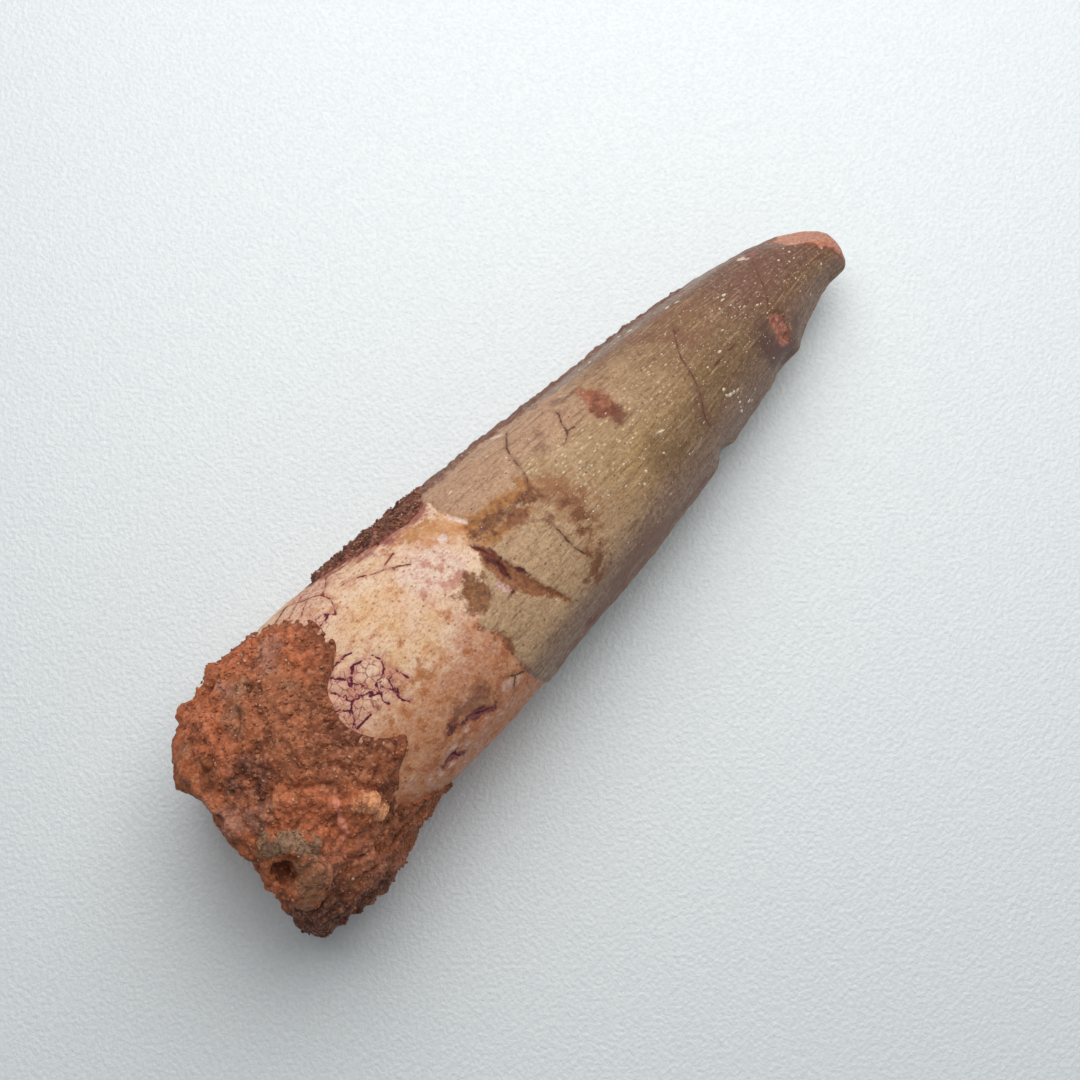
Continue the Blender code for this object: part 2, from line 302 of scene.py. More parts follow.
# A ball of twenty faces; every grain is such a ball, made uneven
GOLDEN = (1 + 5**0.5) / 2
BALL = np.array([
    (-1, GOLDEN, 0), (1, GOLDEN, 0), (-1, -GOLDEN, 0), (1, -GOLDEN, 0),
    (0, -1, GOLDEN), (0, 1, GOLDEN), (0, -1, -GOLDEN), (0, 1, -GOLDEN),
    (GOLDEN, 0, -1), (GOLDEN, 0, 1), (-GOLDEN, 0, -1), (-GOLDEN, 0, 1),
]) / math.hypot(1, GOLDEN)
BALL_FACES = np.array([
    (0, 11, 5), (0, 5, 1), (0, 1, 7), (0, 7, 10), (0, 10, 11), (1, 5, 9), (5, 11, 4),
    (11, 10, 2), (10, 7, 6), (7, 1, 8), (3, 9, 4), (3, 4, 2), (3, 2, 6), (3, 6, 8), (3, 8, 9),
    (4, 9, 5), (2, 4, 11), (6, 2, 10), (8, 6, 7), (9, 8, 1),
])


def grains_on(places, normals, radius, sizes, draw):
    """Points and faces of one uneven grain at each place. The sizes are its three half sizes
    along x, across and out of the skin, how far it swerves from x, and its sunken share."""
    count = len(places)
    along = np.tile([1.0, 0.0, 0.0], (count, 1)) + draw.normal(0, sizes["swerve"], (count, 3))
    along -= (along * normals).sum(axis=1)[:, None] * normals
    along /= np.linalg.norm(along, axis=1)[:, None]
    axes = np.stack([along, np.cross(normals, along), normals], axis=1)
    half = radius[:, None] * sizes["half"] * draw.uniform(0.75, 1.3, (count, 3))
    corners = BALL * draw.uniform(0.7, 1.2, (count, 12))[..., None]
    corners = corners * half[:, None, :]
    points = np.einsum("nij,njk->nik", corners, axes)
    points += (places + normals * (half[:, 2] * (1 - 2 * sizes["sunk"]))[:, None])[:, None, :]
    faces = (BALL_FACES + 12 * np.arange(count)[:, None, None]).reshape(-1, 3)
    return points.reshape(-1, 3), faces.tolist()


def light(colour):
    """A colour given as 0 to 255 steps of a screen, as light from 0 to 1."""
    part = np.array(colour, float) / 255
    return tuple(np.where(part <= 0.04045, part / 12.92, ((part + 0.055) / 1.055) ** 2.4)) + (1.0,)


class Surface:
    """One material, built a node at a time round its Principled BSDF."""

    def __init__(self, name):
        self.material = bpy.data.materials.new(name)
        self.material.use_nodes = True
        self.tree = self.material.node_tree
        self.shader = self.tree.nodes["Principled BSDF"]
        place = self.node("ShaderNodeTexCoord").outputs["Object"]
        self.at = self.vector("MULTIPLY", place, (1 / MM,) * 3)
        self.wander = self.math("MULTIPLY_ADD", self.noise(1.1, 5, 0.68), 2.6, -1.3)
        self.mottle = self.step(self.noise(0.42, 4, 0.65, self.moved(9.0)), 0.40, 0.62)

    def node(self, kind, **settings):
        made = self.tree.nodes.new(kind)
        for key, value in settings.items():
            setattr(made, key, value)
        return made

    def put(self, socket, value):
        if isinstance(value, bpy.types.NodeSocket):
            self.tree.links.new(value, socket)
        else:
            socket.default_value = value

    def vector(self, operation, *values):
        made = self.node("ShaderNodeVectorMath", operation=operation)
        for socket, value in zip(made.inputs, values):
            self.put(socket, value)
        return made.outputs["Value" if operation == "LENGTH" else "Vector"]

    def math(self, operation, *values):
        made = self.node("ShaderNodeMath", operation=operation)
        for socket, value in zip(made.inputs, values):
            self.put(socket, value)
        return made.outputs[0]

    def moved(self, by):
        """The place, moved, so that a noise there has nothing to do with the others."""
        return self.vector("ADD", self.at, (by, 2 * by, 3 * by))

    def field(self, name, kind="Fac"):
        return self.node("ShaderNodeAttribute", attribute_name=name).outputs[kind]

    def noise(self, size, detail=3.0, roughness=0.55, at=None, output="Fac"):
        """Noise about 0.5 with features of that many millimetres."""
        made = self.node("ShaderNodeTexNoise")
        self.put(made.inputs["Vector"], at or self.at)
        self.put(made.inputs["Scale"], 1 / size)
        self.put(made.inputs["Detail"], detail)
        self.put(made.inputs["Roughness"], roughness)
        return made.outputs[output]

    def cells(self, size, at=None):
        """Distance from the middle of the nearest cell, and three random values of that cell."""
        made = self.node("ShaderNodeTexVoronoi")
        self.put(made.inputs["Vector"], at or self.at)
        self.put(made.inputs["Scale"], 1 / size)
        split = self.node("ShaderNodeSeparateColor")
        self.put(split.inputs[0], made.outputs["Color"])
        return made.outputs["Distance"], split.outputs

    def step(self, value, start, full):
        """0 to 1 as value goes from start to full, smoothly."""
        made = self.node("ShaderNodeMapRange", interpolation_type="SMOOTHSTEP")
        self.put(made.inputs["Value"], value)
        self.put(made.inputs["From Min"], start)
        self.put(made.inputs["From Max"], full)
        return made.outputs["Result"]

    def times(self, first, *others):
        for other in others:
            first = self.math("MULTIPLY", first, other)
        return first

    def times_vector(self, vector, by):
        return self.vector("MULTIPLY", vector, (by, by, by))

    def mix(self, share, a, b):
        made = self.node("ShaderNodeMix", data_type="RGBA")
        self.put(made.inputs["Factor"], share)
        self.put(made.inputs[6], a if isinstance(a, bpy.types.NodeSocket) else light(a))
        self.put(made.inputs[7], b if isinstance(b, bpy.types.NodeSocket) else light(b))
        return made.outputs[2]

    def tint(self, base, value, start, full, strength, colour):
        """A colour laid over another as the value goes from start to full."""
        return self.mix(self.times(self.step(value, start, full), strength), base, colour)

    def paint(self, base, table):
        """Mottled patches laid over a colour: the field, where a patch starts and is full, how
        ragged its edge is, its two colours and its strength."""
        for field, start, full, ragged, one, other, strength in table:
            value = self.math("MULTIPLY_ADD", self.wander, ragged, self.field(field))
            share = self.times(self.step(value, start, full), strength)
            base = self.mix(share, base, self.mix(self.mottle, one, other))
        return base

    def bump(self, height, depth):
        """Normals for a height from 0 to 1 that stands for that many millimetres."""
        made = self.node("ShaderNodeBump")
        self.put(made.inputs["Height"], height)
        self.put(made.inputs["Distance"], depth * MM)
        return made.outputs["Normal"]

    def finished(self, colour, rough, specular, height, depth):
        """The material, with its colour, roughness, reflection and bumps of that many millimetres."""
        self.put(self.shader.inputs["Base Color"], colour)
        self.put(self.shader.inputs["Roughness"], rough)
        self.put(self.shader.inputs["Specular IOR Level"], specular)
        self.put(self.shader.inputs["Normal"], self.bump(height, depth))
        return self.material


# Tooth

TOOTH_TURNS = 256
tooth_x = np.concatenate([
    STUB_X + STUB_ROUND * (1 - np.cos(np.radians([25, 50, 80]))),
    np.arange(-30.8, -4.0, 0.16),
    np.arange(-4.0, TIP_X - TIP_ROUND, 0.25),
    TIP_X - TIP_ROUND * (1 - np.sin(np.radians(np.linspace(4, 84, 14)))),
])
# The turns lie closer together on top than underneath
tooth_turns = np.interp(
    np.linspace(0, 1, TOOTH_TURNS, endpoint=False), [0, 0.16, 0.84, 1], [-180, -100, 100, 180]
)

# Cracks, lines of x, turn
PURPLE_CRACKS = [
    [(-22.8, 7), (-22.5, 7), (-22, 6), (-20.7, 5), (-20.4, 0), (-20.6, -3), (-21.3, -6),
        (-22.3, -6), (-22.5, -11), (-23, -14), (-22.7, -17)],
    [(-24.5, 12), (-23.5, 13), (-22.6, 13), (-21.9, 12)],
    [(-22.5, 7), (-23.7, 2), (-24.1, 2), (-23.9, -3), (-23.2, -3)],
    [(-21.3, -6), (-21.1, -10), (-21.6, -14), (-21.7, -19), (-21.2, -23)],
    [(-23, -8), (-23.9, -6), (-24.9, -5), (-25.5, -7), (-25.8, -11), (-27.2, -16)],
    [(-26, 7), (-25.3, 2), (-25.1, -4), (-24.6, -5)],
    [(-24.8, 10), (-23.9, 4), (-22.9, 4)],
    [(-27.4, -2), (-26.4, -3), (-25.6, -7)],
    [(-24.5, -15), (-25.6, -15), (-26.3, -15)],
    [(-21, -9), (-20.1, -8), (-20, -11)],
    [(-27.4, -2), (-27.8, -6), (-27.6, -12)],
    [(-22.5, -11), (-21.7, -11), (-21.1, -10)],
    [(-25.1, 38), (-24.3, 36), (-23.7, 33), (-23.1, 33), (-22.6, 32)],
    [(-22.9, 36), (-22.2, 32), (-21.7, 35), (-21.4, 34), (-20.8, 36), (-20.4, 33)],
    [(-18.6, -53), (-17.6, -55), (-16.9, -58), (-16, -60)],
    [(-22.7, -65), (-21.6, -64), (-21.2, -70)],
]
RED_CRACKS = [
    [(-18.3, 47), (-16.7, 44), (-15.4, 38), (-14.4, 35), (-13.2, 31), (-12.3, 26)],
    [(-24.2, 72), (-22.6, 67), (-21.8, 60), (-20.9, 56), (-20.1, 52), (-19.7, 44), (-19.9, 38),
        (-20.4, 33)],
    [(-17.8, 63), (-16.4, 60), (-14.8, 59)],
    [(-7.2, 11), (-6.8, 6), (-6.5, 1), (-6.3, -3)],
    [(-25.4, 60), (-24.2, 64), (-22.9, 70)],
    [(-23.6, 54), (-22.4, 60), (-21.4, 66)],
    [(-22.6, 48), (-21.8, 54), (-20.9, 56)],
    [(-19.9, 50), (-18.9, 58), (-18.3, 66)],
    [(-16.2, 60), (-15.2, 64), (-14.2, 66)],
    [(-12.9, 54), (-11.9, 57)],
    [(-14.4, 35), (-13.6, 38), (-12.6, 39)],
]
BROWN_CRACKS = [
    [(3.6, 54), (2.2, 40), (1.8, 30), (1.5, 19), (1.1, 14), (0.1, 8)],
    [(8.3, 40), (8.3, 35), (7.6, 27), (7.4, 20), (6.2, 16)],
    [(7.4, 22), (8.2, 20)],
    [(34.3, 32), (33.7, 19), (33.1, 7), (32.3, -9), (31.4, -18)],
    [(23.2, 30), (22.4, 22), (21.9, 17), (20.8, 4), (20.5, -7), (20, -17), (19.2, -29), (18.5, -36),
        (18.3, -45)],
    [(26.1, -19), (24.8, -18), (23.3, -18), (22.8, -18)],
    [(-0.2, -11), (-0.2, -21), (-0.2, -30), (0.2, -37)],
    [(-13.0, -52), (-12.4, -55), (-11.6, -58)],
    [(-12.4, -55), (-13.2, -60)],
]
TWIGS_FROM = {"purple": 0.4, "red": 0.3, "brown": 0.15}  # how often a crack's corner has a twig

# Marks on the tooth: outlines and lines of x, turn, with the lines' reach, and x, turn, radius spots
MARKS = {
    "pink": [
        ("line", 2.2, [(-6.9, 60), (-8.8, 53), (-11.2, 54), (-13.5, 60), (-15.2, 66), (-17.3, 70)]),
        ("spots", [(-25.2, 2, 3.0), (-26.5, -8, 2.4), (-24.0, 48, 3.4), (-20.5, 62, 3.0),
            (-13.0, 8, 1.2), (-10.5, 22, 2.4), (-12.6, -22, 2.4), (-11.5, -33, 1.6),
            (-20.8, -14, 1.6)]),
    ],
    # painted highlight: a near-white patch on top of the root
    "root_highlight": [
        ("area", [(-12.2, 34), (-9.2, 24), (-7.6, 7), (-9.4, 0), (-12.6, 4), (-14.0, 14),
            (-14.4, 25)]),
    ],
    "net": [
        ("spots", [(-23.2, -3, 2.6), (-25.2, 3, 1.8), (-25.6, -9, 1.8), (-22.3, 35, 1.4),
            (-21.0, 58, 1.6)]),
    ],
    "yellow": [
        ("spots", [(-18.0, 24, 1.8), (-16.0, 22, 1.3), (-19.8, 20, 1.2), (-14.8, -2, 1.0),
            (-17.8, 8, 1.6), (-19.4, -4, 1.6), (-16.6, -10, 1.4)]),
    ],
    "ochre_spots": [
        ("spots", [(-18.1, -14, 0.4), (-22.2, -28, 0.25), (-21.8, -33, 0.3), (-23.6, -24, 0.2),
            (-19.6, -24, 0.25), (-23.9, -30, 0.3), (-24.6, -36, 0.25), (-14.4, -27, 0.25)]),
        ("line", 0.3, [(-21.5, -16), (-19.8, -18), (-18.2, -21)]),
    ],
    "rusty": [
        ("area", [(-12.4, -24), (-11.6, -36), (-12.6, -48), (-15.2, -53), (-18.2, -50),
            (-20.6, -40), (-20.2, -30), (-17.4, -24), (-14.6, -21)]),
    ],
    "rust_dark": [
        ("area", [(-14.8, -45), (-16.0, -41), (-18.4, -42), (-19.6, -47), (-17.8, -53), (-16.0, -51)]),
    ],
    "rust_rim": [
        ("line", 0.12, [(-12.3, -19), (-11.9, -23), (-11.1, -28), (-10.9, -33), (-10.9, -37),
            (-11.2, -44)]),
        ("line", 0.05, [(-11.2, -44), (-11.4, -52), (-11.2, -60)]),
    ],
    "red_veins": [
        ("line", 0.35, [(-12.6, 30), (-11.3, 20), (-10.6, 12)]),
        ("line", 0.5, [(-12.0, 10), (-11.6, 5), (-10.6, 2), (-9.6, 3)]),
        ("spots", [(-12.4, 7, 0.4), (-13.4, 10, 0.3), (-9.2, 33, 0.5)]),
    ],
    "olive": [
        ("area", [(-10.3, 1), (-11.1, -4), (-11.5, -12), (-10.9, -17), (-9.8, -18), (-8.9, -15),
            (-8.6, -10), (-8.9, -3), (-9.3, 1)]),
        ("spots", [(-9.6, 39, 0.8), (-8.4, 35, 0.6)]),
    ],
    "ochre": [
        ("area", [(-10.4, 46), (-8.2, 38), (-6.2, 28), (-5.2, 20), (-5.4, 11), (-6.2, 6),
            (-7.3, 14), (-8.8, 26), (-10.2, 36)]),
    ],
    "purple_flank": [
        ("line", 0.42, [(-18.9, -52), (-17.6, -55), (-16.6, -59), (-15.9, -61)]),
        ("line", 0.3, [(-22.9, -66), (-21.6, -64), (-20.9, -70)]),
        ("spots", [(-20.2, -50, 0.6)]),
    ],
    "pale_flank": [
        ("spots", [(-21.2, -60, 0.35), (-20.6, -63, 0.25), (-19.0, -57, 0.3), (-17.0, -63, 0.35),
            (-23.6, -67, 0.35), (-22.3, -69, 0.3), (-24.6, -63, 0.25), (-20.0, -66, 0.3)]),
        ("line", 0.5, [(-13.6, -56), (-12.4, -58)]),
    ],
    "streak": [
        ("line", 0.7, [(-5.8, 13), (-4.7, 11), (-2.9, 10), (-1.2, 9), (0.4, 7)]),
    ],
    "gold": [
        ("line", 0.7, [(-5.9, 18), (-3.9, 16), (-2.2, 14), (0.6, 12)]),
        ("line", 0.6, [(-5.2, 6), (-3.4, 5), (-1.6, 4)]),
    ],
    "low_streak": [
        ("line", 0.28, [(-3.6, 6), (-2.6, 2), (-1.8, -1), (-0.8, -6), (0.2, -8)]),
        ("spots", [(-2.4, 3, 0.55), (-1.6, 4, 0.5)]),
    ],
    "stain": [
        ("line", 1.7, [(0.6, 7), (1.8, 4), (2.6, -6), (2.7, -16)]),
        ("line", 0.9, [(2.7, -16), (2.1, -28), (0.9, -40), (-0.4, -50)]),
    ],
    "stain_dark": [
        ("line", 0.5, [(2.6, -8), (2.6, -18), (1.8, -30)]),
        ("spots", [(0.8, -45, 1.0), (-0.4, -50, 0.8)]),
    ],
    "gash": [
        ("line", 0.28, [(-7.1, 9), (-6.9, 3), (-6.7, -5), (-6.6, -15)]),
        ("line", 0.08, [(-6.3, 2), (-5.7, -10), (-5.2, -22)]),
        ("spots", [(-7.3, -22, 0.2)]),
    ],
    "wedge": [
        ("area", [(-7.0, 9), (-6.3, 2), (-5.7, -10), (-5.1, -24), (-4.4, -37), (-3.5, -51),
            (-3.9, -51), (-5.3, -38), (-6.4, -28), (-7.2, -22), (-7.6, -14), (-7.5, -4), (-7.4, 5)]),
    ],
    "chip_pink": [
        ("spots", [(-7.9, -14, 0.36), (-7.7, -18, 0.4)]),
    ],
    "pale": [
        ("line", 0.26, [(-6.6, 31), (-6.1, 26), (-5.8, 22)]),
        ("line", 0.26, [(2.0, 67), (2.7, 62), (3.2, 58)]),
        ("spots", [(34.1, 51, 0.45), (34.4, 44, 0.3), (-8.4, 24, 0.5)]),
    ],
    "chip_red": [
        ("line", 0.3, [(35.6, 60), (35.3, 48), (34.9, 40)]),
    ],
    "patch": [
        ("area", [(11.4, 40), (12.3, 34), (12.7, 22), (12.6, 12), (12.0, 6), (10.9, 11), (10.7, 19),
            (10.9, 28)]),
    ],
    "patch_dark": [
        ("spots", [(12.0, 9, 1.1), (11.4, 16, 0.9), (11.9, 24, 0.5)]),
    ],
    # painted highlight: a pale olive-yellow band where light falls brightest on the crown's middle
    "crown_highlight": [
        ("line", 1.8, [(8.0, -12), (11.0, -18), (15.0, -26), (19.0, -24)]),
    ],
    "shade": [
        ("line", 2.2, [(13.0, -34), (18.0, -32), (23.0, -27), (28.0, -24)]),
    ],
    "smudge": [
        ("spots", [(4.6, 23, 0.6), (4.0, 26, 0.45), (4.9, 18, 0.3), (14.1, 40, 0.55),
            (13.2, 45, 0.5), (5.4, 33, 0.35)]),
        ("line", 0.5, [(9.2, 44), (9.9, 40), (10.8, 40)]),
        ("line", 0.7, [(18.3, -38), (18.8, -30), (19.6, -22)]),
    ],
    "flecked": [
        ("line", 2.4, [(2.6, 12), (4.5, 5), (6.5, 1), (8.5, 0), (10.5, 0)]),
        ("line", 1.4, [(12.5, 2), (15.5, 0), (18.0, 6)]),
    ],
    "rust_c": [
        ("line", 0.9, [(19.6, 45), (20.8, 33), (22.2, 22), (23.0, 12)]),
        ("line", 0.8, [(22.4, 50), (24.5, 38), (26.5, 30)]),
    ],
    "pit": [
        ("area", [(31, -22), (32, -29), (32.5, -41), (32.2, -55), (31.4, -64), (30.4, -60),
            (30.0, -46), (30.5, -32)]),
    ],
    "pit_core": [
        ("line", 0.3, [(31.2, -28), (31.5, -38), (31.2, -50)]),
        ("spots", [(31.2, -60, 0.5)]),
    ],
    "pit_dark": [
        ("spots", [(29.5, -28, 0.9), (28.9, -40, 1.5), (29.5, -58, 1.7), (30.8, -72, 1.7),
            (33.2, -58, 0.9)]),
    ],
    "back_rust": [
        ("line", 1.4, [(9.6, -76), (7.5, -72), (5.2, -72), (2.9, -74), (0.8, -76), (-1.5, -82),
            (-3.6, -84)]),
        ("line", 1.0, [(15.0, -86), (11.0, -82), (8.0, -80), (4.0, -83), (-1.0, -88), (-8.0, -90)]),
    ],
    "back_spots": [
        ("spots", [(-3.4, -80, 0.5), (-2.6, -84, 0.5), (9.6, -70, 0.3), (10.3, -73, 0.3)]),
    ],
    "sheen": [
        ("area", [(6.1, 60), (9.9, 54), (14.2, 51), (18.3, 52), (22.2, 50), (26.9, 49), (31, 52),
            (33, 80), (30, 92), (20, 92), (12, 92), (7, 92)]),
    ],
    "front_rust": [
        ("line", 2.9, [(-7.0, 80), (-4.0, 82), (0.0, 84), (5.0, 84), (9.0, 84)]),
        ("line", 1.4, [(9.0, 82), (14.0, 80), (20.0, 82), (27.0, 82)]),
    ],
    "crust_edge": [
        ("line", 1.2, [(-6.2, 68), (-7.2, 58), (-8.8, 53), (-11.2, 54), (-13.5, 60), (-15.2, 65),
            (-17.3, 69), (-19.4, 76)]),
    ],
}

# Hollows and bulges: x, turn, half length along x, half width round, depth
HOLLOWS = [
    (18.8, -86, 1.0, 2.2, 0.75),
    (29.3, -88, 1.3, 1.5, 0.35),
    (32.2, -85, 1.0, 1.6, -0.3),
    (-10.3, -10, 1.4, 1.5, 0.22),
    (35.3, 60, 0.7, 1.5, 0.25),
    (-17.2, -56, 1.8, 0.8, 0.3),
    (-22.0, -66, 1.6, 0.7, 0.25),
]


def twigs(lines, often, draw):
    """Short side branches at some of the corners of some cracks."""
    made = []
    for line in lines:
        for x, turn in line[1:]:
            if draw.random() < often:
                way, reach = draw.uniform(0, 2 * np.pi), draw.uniform(0.35, 1.0)
                middle = (x + reach * 0.5 * np.cos(way + 0.5), turn + 6 * reach * 0.5 * np.sin(way + 0.5))
                made.append([(x, turn), middle, (x + reach * np.cos(way), turn + 6 * reach * np.sin(way))])
    return made


# About the length of one degree of turn on the root and on the crown
ROOT_DEGREE, CROWN_DEGREE = 0.17, 0.14


def tooth_fields(x, turn):
    """Every field of the tooth's skin at some places, and the plain skin there."""
    plain = oval(x, turn, TOOTH)
    lined = plain + 0.14 * swirl_at(plain, 0.9, 7.0)
    bent = plain + (lined - plain) * 0.35
    fields = {name: mark(lined, x, turn, shapes) for name, shapes in MARKS.items()}
    draw = np.random.default_rng(SEEDS["twigs"])
    for name, lines in (("purple", PURPLE_CRACKS), ("red", RED_CRACKS), ("brown", BROWN_CRACKS)):
        lines = lines + twigs(lines, TWIGS_FROM[name], draw)
        fields[name], fields[name + "_away"] = to_lines(bent, [on_skin(line) for line in lines])

    flank_start = np.interp(x, [-12, 0, 10, 20, 28, 34], [-56, -50, -43, -37, -24, -30])
    facet_edge = np.interp(
        turn,
        [-180, -90, -70, -47, -25, -9, 13, 25, 61, 93, 120, 180],
        [43.3, 43.2, 42.2, 41.9, 41.7, 40.6, 39.4, 38.3, 38.1, 39.5, 42, 43.3],
    )
    fields["enamel"] = x - np.interp(turn, ENAMEL_EDGE[:, 0], ENAMEL_EDGE[:, 1])
    fields["facet"] = x - facet_edge
    fields["towards_tip"] = x
    fields["towards_root"] = -x
    fields["root_side"] = (-turn - 18) * ROOT_DEGREE
    fields["rust_side"] = np.clip((-turn - 20) / 40, -0.5, 1.0) * smooth(-85, -50, turn)
    fields["root_flank"] = (-turn - 54) * ROOT_DEGREE
    fields["flank"] = (flank_start - turn) * np.interp(x, [0, 40], [0.16, 0.08])
    band = (24 - np.abs(from_turn(turn, -26))) * CROWN_DEGREE
    fields["olive_band"] = np.minimum(band, np.minimum((x - 4) * 0.3, (31 - x) * 0.4))
    fields["rosy"] = np.minimum((turn - 16) * CROWN_DEGREE, (14 - x) * 0.4)
    fields["upper"] = np.minimum((turn - 40) * CROWN_DEGREE, (x - 12) * 0.3)
    fields["under"] = (np.abs(turn) - 104) * CROWN_DEGREE
    fields["tip_red"] = np.minimum(x - 27, (turn + 30) * 0.1)
    fields["fibre"] = np.stack(
        [x * 0.14, 10 * np.sin(np.radians(turn)), 10 * np.cos(np.radians(turn))], axis=1
    )
    return plain, fields


# Cuts in the tooth's skin: the mark, where the cut starts and is full, its depth
CUTS = [
    ("wedge", -0.2, 0.5, 0.25),
    ("gash", -0.2, 0.3, 0.25),
    ("pale", -0.2, 0.3, 0.2),
    ("chip_pink", -0.2, 0.3, 0.15),
]
GROOVES = {"purple": 0.10, "red": 0.06, "brown": 0.04}  # depth along each kind of crack
GROOVE_REACH = 0.2
ENAMEL_STEP = 0.2


def tooth_relief(x, turn, plain, fields):
    """How far the skin stands out of the plain oval."""
    crown = smooth(-0.3, 0.5, fields["enamel"] + 0.35 * noise_at(plain, 0.9))
    relief = ENAMEL_STEP * crown
    for name, start, full, depth in CUTS:
        relief -= depth * smooth(start, full, fields[name])
    relief -= 0.2 * smooth(-0.3, 0.4, fields["patch"]) * (1 + 0.6 * noise_at(plain, 0.7))
    relief -= 0.4 * smooth(-0.4, 0.6, fields["pit"]) * (1 + 0.7 * noise_at(plain, 0.6))
    for name, depth in GROOVES.items():
        relief -= depth * np.exp(-((fields[name + "_away"] / GROOVE_REACH) ** 2))
    for edge in (90.0, -90.0):
        relief += 0.3 * np.exp(-((from_turn(turn, edge) / 7.0) ** 2)) * (0.3 + 0.7 * crown)
    relief += 0.12 * noise_at(plain, 6.0) + 0.04 * noise_at(plain, 2.2)
    relief += 0.05 * noise_at(plain, 0.8) * (1 - crown)
    relief += 0.05 * noise_at(fields["fibre"], 0.8) * crown
    ragged = smooth(-0.4, 0.6, fields["front_rust"])
    relief += ragged * (0.1 + 0.25 * noise_at(plain, 0.9) + 0.2 * noise_at(plain, 0.45))
    beside_edge = smooth(14, 4, np.abs(from_turn(np.abs(turn), 90)))
    relief += 0.09 * beside_edge * noise_at(plain, 0.8)
    for middle, at_turn, half_length, half_width, depth in HOLLOWS:
        across = np.radians(from_turn(turn, at_turn)) * 8
        relief -= depth * np.exp(-(((x - middle) / half_length) ** 2) - (across / half_width) ** 2)
    return relief


def past_facet(points):
    """Millimetres by which each point stands out past the facet."""
    return (points - FACET_FROM) @ FACET_NORMAL - FACET_REACH


def tooth_points(x, turn, plain, relief):
    """The skin with its ends rounded, the facet ground off and the underside worn to the floor."""
    shrink = rounded_end(x, TIP_X, TIP_ROUND) * rounded_end(x, STUB_X, STUB_ROUND)
    points = oval(x, turn, TOOTH, shrink, relief * shrink)
    ground = np.where(x > FACET_FROM[0] - FACET_LENGTH, np.maximum(past_facet(points), 0), 0)
    points -= (ground * (1 + 0.12 * noise_at(plain, 1.2)))[:, None] * FACET_NORMAL
    points[:, 2] = np.maximum(points[:, 2], 0)
    return points


def tooth_mesh(material):
    x, turn = (a.ravel() for a in np.meshgrid(tooth_x, tooth_turns, indexing="ij"))
    plain, fields = tooth_fields(x, turn)
    points = tooth_points(x, turn, plain, tooth_relief(x, turn, plain, fields))
    poles = np.array([oval(np.full(1, e), np.zeros(1), TOOTH, 0.0)[0] for e in (STUB_X, TIP_X)])
    poles[1] -= max(past_facet(poles[1]), 0) * FACET_NORMAL
    grid = points.reshape(len(tooth_x), TOOTH_TURNS, 3)
    return closed_grid("tooth_skin", grid, poles, fields, material)


